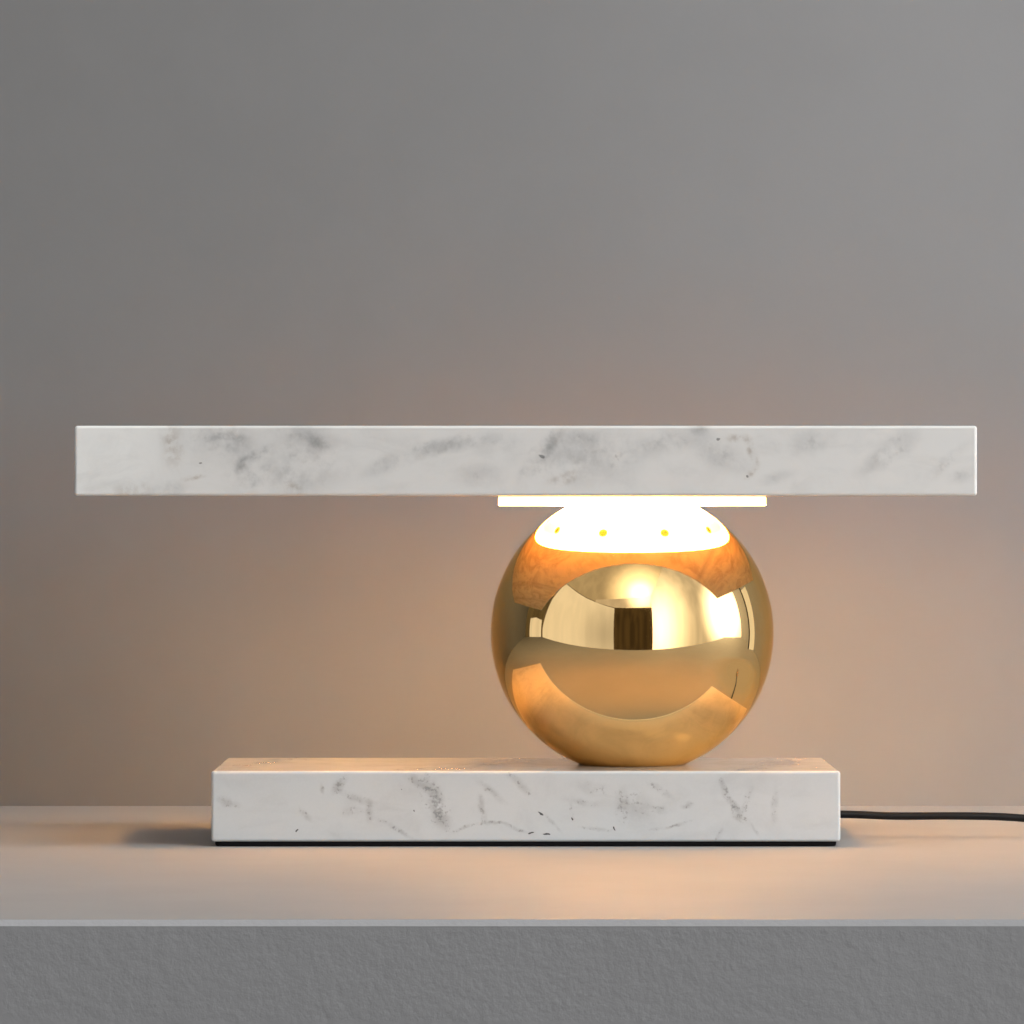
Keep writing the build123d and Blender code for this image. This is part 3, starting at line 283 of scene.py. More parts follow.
def marble(name, front, lean, veins, look):
    """White marble. Its veins run through the stone on a slant, as faint clouds with specks in them."""
    graph = Graph(name, Specular_IOR_Level=0.5)
    place = graph.place()
    x, y, z = graph.axes(place)
    depth = graph.math("SUBTRACT", y, front)
    across = graph.math("ADD", x, graph.math("MULTIPLY", depth, lean))
    slant = graph.node("CombineXYZ", {0: across, 2: z}).outputs[0]
    for scale, reach in WOBBLES:
        shake = graph.node("TexNoise", {"Vector": place, "Scale": scale, "Detail": 3.0}).outputs["Color"]
        shake = graph.node("VectorMath", {0: shake, 1: (0.5, 0.5, 0.5)}, operation="SUBTRACT").outputs[0]
        shake = graph.node("VectorMath", {0: shake, 1: (reach, 0.0, reach)}, operation="MULTIPLY").outputs[0]
        slant = graph.node("VectorMath", {0: slant, 1: shake}, operation="ADD").outputs[0]
    marks = [None, None, None]
    for width, strength, kind, start_x, start_z, end_x, end_z in veins:
        way = Vector((end_x - start_x, end_z - start_z))
        middle = ((start_x + end_x) / 2 * MM, 0.0, (start_z + end_z) / 2 * MM)
        reach = ((way.length / 2 + width) * MM, 1.0, width * MM)
        turned = (0.0, math.atan2(-way.y, way.x), 0.0)
        near = graph.node("Mapping", {"Vector": slant, "Location": middle, "Rotation": turned,
                                      "Scale": reach}, vector_type="TEXTURE").outputs[0]
        away = graph.node("VectorMath", {0: near}, operation="LENGTH").outputs["Value"]
        mark = graph.ease(away, *VEIN_FADE, strength, 0.0)
        marks[kind] = mark if marks[kind] is None else graph.math("ADD", marks[kind], mark, clamp=True)
    # the white of the front face, which changes a little along it, with the beam's paler left end painted
    # light, and the white of the faces behind it
    white = graph.mix(graph.ease(x, *look["pale_end"]), look["pale"], look["white"])
    # on the base the faces behind the front are painted whiter than its front, as painted light on its top
    white = graph.mix(graph.ease(depth, *OTHER_FACES_DEPTH), white, look["core"])
    # broad pale clouds and streaks, stronger inside the stone than on the front face
    streaks = graph.noise(graph.mapped(slant, STREAK_STRETCH, STREAK_TURN), STREAK_SCALE, 6.0, 0.6, 0.6)
    streaks = graph.math("MULTIPLY", graph.ease(streaks, *STREAK_RANGE),
                         graph.ease(depth, *STREAK_DEPTH, look["cloud"], look["inside"]))
    clouds = graph.ease(graph.noise(place, CLOUD_SCALE, 6.0, 0.62, 0.6), *CLOUD_RANGE, 0.0, look["cloud"])
    colour = graph.mix(graph.math("ADD", streaks, clouds), white, MARBLE_GREY)
    # brown-grey mottling on the face towards the ball, behind the front edge
    mottle = graph.ease(graph.noise(place, MOTTLE_SCALE, 6.0, 0.65, 1.0), *MOTTLE_RANGE)
    mottle = graph.math("MULTIPLY", mottle, graph.ease(z, *look["ball_side"], look["mottle"], 0.0))
    mottle = graph.math("MULTIPLY", mottle, graph.ease(depth, *MOTTLE_DEPTH))
    colour = graph.mix(mottle, colour, MARBLE_INNER)
    # each vein: a faint cloud, broken up, with darker specks where it is strong
    fine = graph.noise(place, look["fine"], 5.0, 0.62)
    coarse = graph.noise(place, look["coarse"], 4.0, 0.6)
    broken = graph.ease(coarse, *BROKEN_RANGE, *BROKEN_LEVELS)
    veil = graph.math("MULTIPLY", graph.math("MULTIPLY", marks[GREY], broken), look["veil"], clamp=True)
    colour = graph.mix(veil, colour, MARBLE_GREY)
    rise = graph.math("ADD", fine, graph.math("MULTIPLY", marks[GREY], look["gain"]))
    specks = graph.math("MULTIPLY", graph.ease(rise, look["low"], look["high"], 0.0, look["dark"]),
                        graph.ease(marks[GREY], *SPECK_VEIN_RANGE))
    dust = graph.ease(fine, *DUST_RANGE, 0.0, look["dust"])
    colour = graph.mix(graph.math("ADD", specks, dust, clamp=True), colour, MARBLE_DARK)
    if marks[BROWN]:
        rust = graph.ease(fine, *RUST_RANGE, *RUST_LEVELS)
        rust = graph.math("MULTIPLY", marks[BROWN], rust, clamp=True)
        colour = graph.mix(rust, colour, MARBLE_BROWN)
    pits = graph.math("ADD", marks[PIT], graph.math("SUBTRACT", fine, 0.5))
    colour = graph.mix(graph.ease(pits, *PIT_RANGE, 0.0, look["pit"]), colour, PIT_BLACK)
    # crystals: a faint grain in the colour, and a polish that is not quite even
    grain = graph.noise(place, CRYSTAL_SCALE, 2.0)
    colour = graph.mix(graph.ease(grain, *CRYSTAL_RANGE, 0.0, CRYSTAL_SHARE), colour, MARBLE_CRYSTAL)
    graph.set("Base Color", colour)
    polish = graph.noise(place, POLISH_SCALE, 3.0)
    graph.set("Roughness", graph.ease(polish, *POLISH_RANGE, *POLISH_LEVELS))
    graph.bump(graph.noise(place, RELIEF_SCALE, 3.0), RELIEF_DEPTH, RELIEF_SHARE)
    return graph.material


BEAM_LEAN, BASE_LEAN = 0.35, -0.3               # how far a vein shifts in x for each metre of depth
FACE_SKIN = (0.0002, 0.002)                     # depths over which the mottling of a face fades
beam_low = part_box("upper_slab")[0]
base_low, base_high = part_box("base_slab")
# the beam's pale left end is painted light, where the lamps from the right fall off
BEAM_LOOK = {"white": (0.79, 0.785, 0.765), "pale": (0.91, 0.91, 0.885), "pale_end": (-0.205, -0.165),
             "core": (0.80, 0.795, 0.775), "cloud": 0.15, "inside": 0.70, "mottle": 0.65,
             "ball_side": [beam_low.z + depth for depth in FACE_SKIN], "fine": 190.0, "coarse": 62.0,
             "veil": 0.84, "gain": 0.16, "low": 0.54, "high": 0.82, "dark": 0.17, "dust": 0.0, "pit": 0.6}
# the base's white behind its front is painted whiter, as painted light on its top
BASE_LOOK = {"white": (0.69, 0.715, 0.725), "pale": (0.67, 0.70, 0.71), "pale_end": (0.05, 0.13),
             "core": (0.85, 0.83, 0.80), "cloud": 0.17, "inside": 0.28, "mottle": 0.22,
             "ball_side": [base_high.z - depth for depth in FACE_SKIN], "fine": 430.0, "coarse": 120.0,
             "veil": 0.72, "gain": 0.13, "low": 0.585, "high": 0.70, "dark": 0.42, "dust": 0.20, "pit": 0.9}
show("upper_slab", marble("beam_marble", beam_low.y, BEAM_LEAN, BEAM_VEINS, BEAM_LOOK))
show("base_slab", marble("base_marble", base_low.y, BASE_LEAN, BASE_VEINS, BASE_LOOK))


GOLD, GOLD_SMEAR, GOLD_EDGE = (0.86, 0.585, 0.262), (0.81, 0.54, 0.225), (1.0, 0.78, 0.48)
GOLD_ROUGH = (0.028, 0.055)
GOLD_WAVE, GOLD_WAVE_SHARE = 0.0004, 0.06


def polished_gold():
    """Mirror plate over spun metal: faint smears and very shallow waves."""
    graph = Graph("gold_plate", Metallic=1.0, Specular_IOR_Level=0.5, Specular_Tint=GOLD_EDGE)
    place = graph.place()
    smears = graph.noise(place, 35.0, 4.0, 0.6, 0.8)
    graph.set("Base Color", graph.mix(graph.ease(smears, 0.3, 0.8, 0.0, 0.25), GOLD, GOLD_SMEAR))
    graph.set("Roughness", graph.ease(smears, 0.35, 0.8, *GOLD_ROUGH))
    graph.bump(graph.noise(place, 26.0, 2.0), GOLD_WAVE, GOLD_WAVE_SHARE)
    return graph.material


GLOW_COLOUR, ACRYLIC = (1.0, 0.50, 0.14), (0.9, 0.88, 0.83)
GLOW_RADII = (0.030, 0.070)                     # from the hub to just past the rim
GLOW_STOPS = ((0.0, 1.0), (0.30, 0.85), (0.46, 0.12), (0.62, 0.10), (0.76, 0.20), (1.0, 0.22))
GLOW_LEVELS = (255.0, 290.0)
RIM_HEIGHTS, RIM_SHARE = (0.0003, 0.0008), 0.115


def opal_disc():
    """Acrylic that glows: brightest near the hub, dimmest at the screws, dimmer on its edge than below."""
    graph = Graph("opal_glow", Roughness=0.35, Base_Color=ACRYLIC, Emission_Color=GLOW_COLOUR)
    x, y, z = graph.axes(graph.place())
    out_x = graph.math("SUBTRACT", x, BALL_CENTRE.x)
    radius = graph.math("SQRT", graph.math("ADD", graph.math("MULTIPLY", out_x, out_x),
                                           graph.math("MULTIPLY", y, y)))
    near, far = GLOW_RADII
    level = graph.node("MapRange", {"Value": radius, "From Min": near, "From Max": far}).outputs["Result"]
    glow = graph.ramp(level, GLOW_STOPS)
    grain = graph.noise(graph.place(), 120.0, 3.0)
    glow = graph.math("MULTIPLY", glow, graph.ease(grain, 0.2, 0.8, *GLOW_LEVELS))
    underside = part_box("light_disc")[0].z
    rim = graph.ease(z, *(underside + height for height in RIM_HEIGHTS), 1.0, RIM_SHARE)
    graph.set("Emission Strength", graph.math("MULTIPLY", glow, rim))
    return graph.material


GRAIN_SHARE, BROAD_SHARE, BROAD_SCALE = 0.6, 0.4, 45.0
SHADE_RANGE, ROUGH_SPREAD, SMOOTHEST = (0.3, 0.7), 0.08, 0.02


def surface(name, colour, rough, metal, scale, spread, depth, stretch=(1, 1, 1), specular=0.5):
    """A plain finish with a fine grain in its colour, gloss and relief."""
    graph = Graph(name, Metallic=metal, Specular_IOR_Level=specular)
    grain = graph.noise(graph.mapped(graph.place(), stretch), scale, 4.0, 0.6)
    broad = graph.noise(graph.place(), BROAD_SCALE, 3.0)
    shade = graph.math("ADD", graph.math("MULTIPLY", grain, GRAIN_SHARE),
                       graph.math("MULTIPLY", broad, BROAD_SHARE))
    darker = tuple(c * (1 - spread) for c in colour)
    lighter = tuple(min(1.0, c * (1 + spread)) for c in colour)
    graph.set("Base Color", graph.mix(graph.ease(shade, *SHADE_RANGE), darker, lighter))
    graph.set("Roughness", graph.ease(shade, *SHADE_RANGE, max(SMOOTHEST, rough - ROUGH_SPREAD),
                                      min(1.0, rough + ROUGH_SPREAD)))
    graph.bump(grain, depth, 0.5)
    return graph.material


STRAP_DARK, STRAP_LIGHT = (0.012, 0.012, 0.014), (0.05, 0.05, 0.054)
WARP_SCALE, WEFT_SCALE, FUZZ_SCALE, FUZZ_SHARE = 260.0, 200.0, 1500.0, 0.5
THREAD_DEPTH = 0.0003


def strap_weave():
    """Woven strap: crossed threads with a little fuzz."""
    graph = Graph("strap_weave", Roughness=0.9, Sheen_Weight=0.35, Sheen_Roughness=0.4)
    place = graph.place()
    warp = graph.node("TexWave", {"Vector": place, "Scale": WARP_SCALE, "Distortion": 0.4},
                      bands_direction="Y").outputs["Fac"]
    weft = graph.node("TexWave", {"Vector": place, "Scale": WEFT_SCALE, "Distortion": 0.6},
                      bands_direction="DIAGONAL").outputs["Fac"]
    threads = graph.math("MULTIPLY", warp, weft)
    fuzz = graph.noise(place, FUZZ_SCALE, 3.0)
    height = graph.math("ADD", threads, graph.math("MULTIPLY", fuzz, FUZZ_SHARE))
    graph.set("Base Color", graph.mix(graph.ease(height, 0.2, 1.2), STRAP_DARK, STRAP_LIGHT))
    graph.bump(height, THREAD_DEPTH, 0.7)
    return graph.material


# By material slot: name, colour, roughness, metal, scale of the grain, spread of tone, depth of relief.
SURFACES = {
    "black_pad": surface("foam_pad", (0.006, 0.006, 0.007), 0.9, 0.0, 500.0, 0.35, 0.0002, specular=0.15),
    "black_cord": surface("cord_sheath", (0.006, 0.006, 0.007), 0.48, 0.0, 350.0, 0.25, 0.00006,
                          specular=0.25),
    "black_rubber": surface("soft_rubber", (0.017, 0.017, 0.017), 0.62, 0.0, 500.0, 0.25, 0.00005),
    "black_plastic": surface("moulded_black", (0.020, 0.020, 0.022), 0.48, 0.0, 900.0, 0.3, 0.00008),
    "rocker_plastic": surface("rocker_black", (0.022, 0.022, 0.024), 0.26, 0.0, 500.0, 0.2, 0.00002),
    "black_plug": surface("plug_black", (0.018, 0.018, 0.020), 0.5, 0.0, 700.0, 0.3, 0.00007),
    "plug_pins": surface("nickel_plate", (0.66, 0.64, 0.60), 0.22, 1.0, 300.0, 0.08, 0.00001, (1, 8, 8)),
    "brass_parts": surface("bright_brass", (0.72, 0.52, 0.24), 0.28, 1.0, 400.0, 0.10, 0.00001),
    "zinc_steel": surface("zinc_plate", (0.58, 0.60, 0.62), 0.34, 1.0, 260.0, 0.12, 0.00002),
    "screw_steel": surface("nickel_steel", (0.62, 0.61, 0.59), 0.26, 1.0, 350.0, 0.10, 0.00001),
    "hub_aluminium": surface("turned_aluminium", (0.76, 0.76, 0.77), 0.3, 1.0, 240.0, 0.06, 0.00001,
                             (1, 1, 14)),
    "white_film": surface("white_film", (0.84, 0.84, 0.82), 0.55, 0.0, 500.0, 0.05, 0.00002),
    "white_plastic": surface("white_moulded", (0.80, 0.80, 0.78), 0.42, 0.0, 600.0, 0.05, 0.00004),
    "led_yellow": surface("phosphor", (0.88, 0.70, 0.20), 0.4, 0.0, 900.0, 0.12, 0.00003),
    "green_board": surface("board_mask", (0.03, 0.19, 0.07), 0.35, 0.0, 700.0, 0.25, 0.00004),
    "board_parts": surface("board_parts", (0.05, 0.05, 0.058), 0.5, 0.0, 400.0, 0.35, 0.00005),
    "red_wire": surface("wire_cover", (0.42, 0.03, 0.022), 0.45, 0.0, 400.0, 0.15, 0.00003),
}
gold = polished_gold()
weave = strap_weave()
SURFACES["polished_gold"] = gold
SURFACES["opal_acrylic"] = opal_disc()
SURFACES["black_tie"] = weave
for row in frame["record"]["subparts"]:
    if row["material_slot"] in SURFACES:
        show(row["node"], SURFACES[row["material_slot"]])
# The disc's screws show in the ball: their heads are duller than the other screws.
show("disc_screws", surface("satin_screw", (0.60, 0.56, 0.44), 0.5, 0.25, 350.0, 0.10, 0.00001))


# ---------------------------------------------------------------- pieces

def add_piece(name, data, material, body="lamp"):
    piece = bpy.data.objects.new(name, data)
    scene.collection.objects.link(piece)
    data.materials.append(material)
    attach(piece, body)
    return piece


MERGE_WITHIN = 1e-7


def mesh_from(name, points, faces, sharp=35):
    """A mesh with smooth faces, and sharp edges where it turns by more than the given degrees."""
    mesh = bpy.data.meshes.new(name)
    mesh.from_pydata(points, [], faces)
    work = bmesh.new()
    work.from_mesh(mesh)
    bmesh.ops.remove_doubles(work, verts=work.verts, dist=MERGE_WITHIN)
    bmesh.ops.recalc_face_normals(work, faces=work.faces)
    work.to_mesh(mesh)
    work.free()
    mesh.shade_smooth()
    mesh.set_sharp_from_angle(angle=math.radians(sharp))
    return mesh


def cord_curve(name, points, radius):
    """One NURBS spline with the route's points as its control points."""
    curve = bpy.data.curves.new(name, "CURVE")
    curve.dimensions = "3D"
    curve.bevel_depth = radius
    curve.bevel_resolution = 5
    curve.resolution_u = 8
    curve.use_fill_caps = True
    spline = curve.splines.new("NURBS")
    spline.points.add(len(points) - 1)
    for point, (x, y, z) in zip(spline.points, points):
        point.co = (x * MM, y * MM, z * MM, 1.0)
    spline.order_u = 3
    spline.use_endpoint_u = True
    return curve


# Cords: the routes of the CAD model in millimetres.
CORD_RADIUS = 2.0
LAMP_CORD = [(157.5, 0, 12.2), (169, 0, 12.2), (189, 0.4, 11.1), (219, -0.5, 11.5), (252, 0.4, 10.9),
             (274, 0, 8), (290, 0, 8)]
COIL_LEAD = [(340, 0, 8), (353, 0, 8), (364, 0, 4.9), (374, 0, 3.1), (386, 0, 3.1)]
PLUG_LEAD = [(386, 56.6, 16.9), (373, 56.6, 16.9), (359, 56.6, 11.9), (347, 56.6, 6.9), (334, 56.6, 6.9)]
COIL_CENTRE = (390.0, 28.3)
COIL_OUTER, COIL_INNER = 28.3, 17.95
COIL_PITCH, COIL_BOTTOM, COIL_LAYERS = 4.6, 3.1, 4
LAYER_TURN, CLIMB_TURN = 9 * math.pi / 2, math.pi
POINTS_PER_TURN = 16


def coil_points():
    """Turns lie beside each other in four layers; each climb to the next layer takes half a turn."""
    step = LAYER_TURN + CLIMB_TURN
    total = COIL_LAYERS * step - CLIMB_TURN
    count = round(total / math.tau * POINTS_PER_TURN)
    bulge = 1 / (0.75 + 0.25 * math.cos(math.tau / POINTS_PER_TURN))
    rate = COIL_PITCH / math.tau
    points = []
    for index in range(count + 1):
        turn = total * index / count
        layer = min(int((turn + 1e-9) // step), COIL_LAYERS - 1)
        local = turn - layer * step
        way = -1 if layer % 2 == 0 else 1
        first, last = (COIL_OUTER, COIL_INNER) if way < 0 else (COIL_INNER, COIL_OUTER)
        climb = max(local - LAYER_TURN, 0.0)
        radius = first + way * rate * local if climb == 0 else last + way * rate * math.sin(climb)
        height = COIL_BOTTOM + COIL_PITCH * (layer + (1 - math.cos(climb)) / 2)
        angle = turn - math.pi / 2
        points.append((COIL_CENTRE[0] + bulge * radius * math.cos(angle),
                       COIL_CENTRE[1] + bulge * radius * math.sin(angle), height))
    return points


sheath = SURFACES["black_cord"]
lamp_cord = add_piece("lamp_cord_sheath", cord_curve("lamp_cord_sheath", LAMP_CORD, CORD_RADIUS * MM),
                      sheath)
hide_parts("lamp_cord")

mains_route = COIL_LEAD + coil_points() + PLUG_LEAD
mains_cord = add_piece("mains_cord_sheath", cord_curve("mains_cord_sheath", mains_route, CORD_RADIUS * MM),
                       sheath)
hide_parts("coil_lead", "cord_coil", "plug_lead")


def closed_strap(name, path, width, thickness, edge):
    """A flat band along a closed path of (x, z, out_x, out_z), with rounded edges."""
    half = width / 2
    section = [(-half + edge, 0), (half - edge, 0), (half, edge), (half, thickness - edge),
               (half - edge, thickness), (-half + edge, thickness), (-half, thickness - edge), (-half, edge)]
    points, faces = [], []
    for x, z, out_x, out_z in path:
        points += [(x + out_x * out, y, z + out_z * out) for y, out in section]
    count, size = len(path), len(section)
    for i in range(count):
        for k in range(size):
            a, b = i * size, (i + 1) % count * size
            faces.append((a + k, a + (k + 1) % size, b + (k + 1) % size, b + k))
    return mesh_from(name, points, faces, sharp=40)


CORNER_STEPS = 6


def rounded_path(low_x, high_x, low_z, high_z, corner, step):
    """Points round a rectangle with rounded corners, each with its outward direction."""
    path = []
    corners = ((high_x - corner, high_z - corner, 0), (low_x + corner, high_z - corner, 90),
               (low_x + corner, low_z + corner, 180), (high_x - corner, low_z + corner, 270))
    for index, (x, z, start) in enumerate(corners):
        arc = [math.radians(start + 90 * k / CORNER_STEPS) for k in range(CORNER_STEPS + 1)]
        path += [(x + corner * math.cos(a), z + corner * math.sin(a), math.cos(a), math.sin(a)) for a in arc]
        next_x, next_z, next_start = corners[(index + 1) % 4]
        turned = math.radians(next_start)
        here_x, here_z, out_x, out_z = path[-1]
        run_x = next_x + corner * math.cos(turned) - here_x
        run_z = next_z + corner * math.sin(turned) - here_z
        count = max(1, int(math.hypot(run_x, run_z) / step))
        shares = [k / count for k in range(1, count)]
        path += [(here_x + run_x * share, here_z + run_z * share, out_x, out_z) for share in shares]
    return path


TIE_SHEET, TIE_WIDTH, TIE_CORNER, TIE_STEP, TIE_EDGE = 0.8, 8.0, 1.8, 1.0, 0.25
TIE_WAVE_LENGTH, TIE_WAVE_HEIGHT = 0.006, 0.0002
tie_low, tie_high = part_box("cord_tie")
tie_middle = (tie_low + tie_high) / 2
tie_path = [(x * MM, z * MM, out_x, out_z) for x, z, out_x, out_z in rounded_path(
    tie_low.x / MM + TIE_SHEET, tie_high.x / MM - TIE_SHEET, TIE_SHEET, tie_high.z / MM - TIE_SHEET,
    TIE_CORNER, TIE_STEP)]
tie_mesh = closed_strap("coil_strap", tie_path, TIE_WIDTH * MM, TIE_SHEET * MM, TIE_EDGE * MM)
for vertex in tie_mesh.vertices:
    wave = noise.noise(vertex.co / TIE_WAVE_LENGTH) * TIE_WAVE_HEIGHT
    vertex.co.y += tie_middle.y + wave
strap = add_piece("coil_strap", tie_mesh, weave)
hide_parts("cord_tie")


# Ball: a spun shell, open where it meets base and beam.
def lathe(name, profile, centre, segments):
    """Turn a closed profile of (radius, height) about an upright axis."""
    points, faces = [], []
    for index in range(segments):
        angle = math.tau * index / segments
        points += [(centre.x + r * math.cos(angle), centre.y + r * math.sin(angle), z) for r, z in profile]
    size = len(profile)
    for i in range(segments):
        for k in range(size):
            a, b = i * size, (i + 1) % segments * size
            faces.append((a + k, b + k, b + (k + 1) % size, a + (k + 1) % size))
    return mesh_from(name, points, faces)


BALL_SEGMENTS, OUTER_RINGS, INNER_RINGS = 240, 120, 24


def ball_arc(radius, from_height, to_height, rings):
    """Points of (radius, height) on a sphere about the ball's centre, between two heights."""
    start = math.asin((from_height - BALL_CENTRE.z) / radius)
    end = math.asin((to_height - BALL_CENTRE.z) / radius)
    arc = [start + (end - start) * k / rings for k in range(rings + 1)]
    return [(radius * math.cos(a), BALL_CENTRE.z + radius * math.sin(a)) for a in arc]


def ball_profile():
    low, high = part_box("ball_shell")
    return (ball_arc(BALL_RADIUS, low.z, high.z, OUTER_RINGS)
            + ball_arc(BALL_RADIUS - BALL_WALL, high.z, low.z, INNER_RINGS))


ball = add_piece("ball_mirror", lathe("ball_mirror", ball_profile(), BALL_CENTRE, BALL_SEGMENTS), gold)
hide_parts("ball_shell")


# Foam pad: a little uneven round its edge, which bulges out under the weight.
PAD_CORNER, PAD_STEP, PAD_ROUGHNESS, PAD_GRAIN = 4.0, 1.5, 0.22, 6.0
# How far each ring of points stands in from the edge, and at which share of the height.
PAD_RINGS = ((1.1, 0.0), (0.42, 0.12), (0.08, 0.42), (0.0, 0.68), (0.14, 0.92), (0.5, 1.0))


def foam_pad(name):
    low, high = (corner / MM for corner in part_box("base_pad"))
    outline = rounded_path(low.x, high.x, low.y, high.y, PAD_CORNER, PAD_STEP)
    points, faces = [], []
    for inset, share in PAD_RINGS:
        for x, y, out_x, out_y in outline:
            rough = PAD_ROUGHNESS * (noise.noise(Vector((x / PAD_GRAIN, y / PAD_GRAIN, share))) - 1)
            points.append(((x + out_x * (rough - inset)) * MM, (y + out_y * (rough - inset)) * MM,
                           (low.z + (high.z - low.z) * share) * MM))
    count, rings = len(outline), len(PAD_RINGS)
    for ring in range(rings - 1):
        a, b = ring * count, (ring + 1) * count
        faces += [(a + k, a + (k + 1) % count, b + (k + 1) % count, b + k) for k in range(count)]
    faces += [tuple(range(count)), tuple(range((rings - 1) * count, rings * count))]
    return mesh_from(name, points, faces, sharp=60)


pad = add_piece("base_foam_pad", foam_pad("base_foam_pad"), SURFACES["black_pad"])
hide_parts("base_pad")


# Marks on the rocker: a bar on the side that lights the lamp and a ring on the other.
SWITCH_X, PIN_HEIGHT = 315.0, 12.6
ROCKER_DISH, ROCKER_TILT = 3.6, math.radians(11)
MARK_OUT, MARK_HEIGHT, MARK_SINK = 4.6, 0.12, 0.1
BAR_LENGTH, BAR_WIDTH, RING_OUTER, RING_INNER = 3.2, 0.6, 1.5, 1.0


def on_wing(side, along, across, height):
    """A point on one wing of the rocker, from the rocker's own measures in millimetres."""
    x = side * along * math.cos(ROCKER_TILT) - side * height * math.sin(ROCKER_TILT)
    z = ROCKER_DISH + along * math.sin(ROCKER_TILT) + height * math.cos(ROCKER_TILT)
    turned_x = x * math.cos(ROCKER_TILT) + z * math.sin(ROCKER_TILT)
    turned_z = -x * math.sin(ROCKER_TILT) + z * math.cos(ROCKER_TILT)
    return ((SWITCH_X + turned_x) * MM, across * MM, (PIN_HEIGHT + turned_z) * MM)


def wing_mark(name, side, outer, inner):
    """A raised mark between two closed outlines, or within one, on a wing of the rocker."""
    points, faces = [], []
    count = len(outer)
    loops = [(outer, -MARK_SINK), (outer, MARK_HEIGHT)]
    loops += [(inner, MARK_HEIGHT), (inner, -MARK_SINK)] if inner else []
    for outline, height in loops:
        points += [on_wing(side, MARK_OUT + u, v, height) for u, v in outline]
    rings = len(loops)
    for ring in range(rings if inner else rings - 1):
        a, b = ring * count, (ring + 1) % rings * count
        faces += [(a + k, a + (k + 1) % count, b + (k + 1) % count, b + k) for k in range(count)]
    if not inner:
        faces += [tuple(range(count)), tuple(range(count, 2 * count))]
    mesh = mesh_from(name, points, faces)
    return add_piece(name, mesh, SURFACES["white_plastic"], "rocker")


def circle(radius, count=40):
    turns = [math.tau * k / count for k in range(count)]
    return [(radius * math.cos(a), radius * math.sin(a)) for a in turns]


def slot_outline(length, width, count=10):
    half, radius = (length - width) / 2, width / 2
    arc = [math.pi * k / count for k in range(count + 1)]
    return ([(radius * math.cos(a), half + radius * math.sin(a)) for a in arc]
            + [(-radius * math.cos(a), -half - radius * math.sin(a)) for a in arc])


marks = [wing_mark("mark_on", 1, slot_outline(BAR_LENGTH, BAR_WIDTH), None),
         wing_mark("mark_off", -1, circle(RING_OUTER), circle(RING_INNER))]


# The coil, the switch and the plug lie outside the picture, so the polished faces leave them out too.
OUT_OF_VIEW = ("switch_base", "switch_cover", "switch_screws", "switch_rocker", "rocker_pin", "plug_sleeve",
               "plug_body", "plug_pins", "pin_sleeves")
for thing in [mains_cord, strap, *marks, *(nodes[name] for name in OUT_OF_VIEW)]:
    thing.visible_glossy = False


# ---------------------------------------------------------------- stage

def stage_mesh(name, points, faces, material):
    mesh = bpy.data.meshes.new(name)
    mesh.from_pydata(points, [], faces)
    mesh.materials.append(material)
    thing = bpy.data.objects.new(name, mesh)
    scene.collection.objects.link(thing)
    return thing


def plaster(name, left, right, scale, relief):
    """Matt paint whose tone changes a little from left to right; on the wall and the table top this is
    painted light, lighter on the right.
    """
    graph = Graph(name, Roughness=0.75, Specular_IOR_Level=0.3)
    place = graph.place()
    paint = graph.mix(graph.ease(graph.axes(place)[0], -0.3, 0.3), left, right)
    broad = graph.ease(graph.noise(place, 9.0, 5.0, 0.6), 0.3, 0.7, 0.975, 1.025)
    graph.set("Base Color", graph.mix(1.0, paint, broad, "MULTIPLY"))
    graph.bump(graph.noise(place, scale, 6.0, 0.65), relief, 0.5)
    return graph


TABLE_FRONT, TABLE_BACK, TABLE_FOOT, TABLE_EDGE = -0.519, 1.6, -1.2, 0.0025
WALL_BACK, WALL_TOP, HALF_WIDTH = 0.28, 1.6, 2.4
# the coil cover's tone is painted light in the lit table's colour
COIL_PLACE, COIL_COVER, COIL_COVER_PAINTED_LIGHT = (0.355, 0.025, 0.0), (0.085, 0.20), (0.53, 0.45, 0.36)


def strip(name, low, high, material):
    """A stage face across the whole width between two lines, each a y and a z."""
    points = [(-HALF_WIDTH, *low), (HALF_WIDTH, *low), (HALF_WIDTH, *high), (-HALF_WIDTH, *high)]
    return stage_mesh(name, points, [(0, 1, 2, 3)], material)


# In mirror images the table is a flat glow where the coil lies, painted light in the lit table's colour, so
# that the coil's shadow is left out there too.
# The table top is painted a little lighter to the right, as painted light from the lamps on that side.
table_paint = plaster("table_paint", (0.33, 0.324, 0.318), (0.365, 0.358, 0.352), 60.0, 0.0001)
table_paint.set("Roughness", 0.6)
table_paint.set("Specular IOR Level", 0.08)
from_coil = table_paint.node("VectorMath", {0: table_paint.place(), 1: COIL_PLACE},
                             operation="DISTANCE").outputs["Value"]
cover = table_paint.math("MULTIPLY", table_paint.ease(from_coil, *COIL_COVER, 1.0, 0.0),
                         table_paint.node("LightPath").outputs["Is Glossy Ray"])
table_paint.give_way(cover, table_paint.node("Emission", {"Color": COIL_COVER_PAINTED_LIGHT}).outputs[0])

front_paint = plaster("front_paint", (0.445, 0.445, 0.457), (0.340, 0.340, 0.348), 140.0, 0.0009)
strip("table_top", (TABLE_FRONT + TABLE_EDGE, 0), (TABLE_BACK, 0), table_paint.material)
strip("table_edge", (TABLE_FRONT, -TABLE_EDGE), (TABLE_FRONT + TABLE_EDGE, 0), front_paint.material)
strip("table_front", (TABLE_FRONT, TABLE_FOOT), (TABLE_FRONT, -TABLE_EDGE), front_paint.material)

# The wall shows only from its front, so that it doesn't hide the lamp from behind.
# The wall is painted darker at the left and lighter at the right, as painted light from the lamps on the
# right.
wall_paint = plaster("wall_paint", (0.22, 0.22, 0.222), (0.285, 0.285, 0.29), 130.0, 0.00015)
wall_paint.give_way(wall_paint.node("NewGeometry").outputs["Backfacing"],
                    wall_paint.node("BsdfTransparent").outputs[0])
wall = strip("wall", (WALL_BACK, 0), (WALL_BACK, WALL_TOP), wall_paint.material)
wall.visible_shadow = False


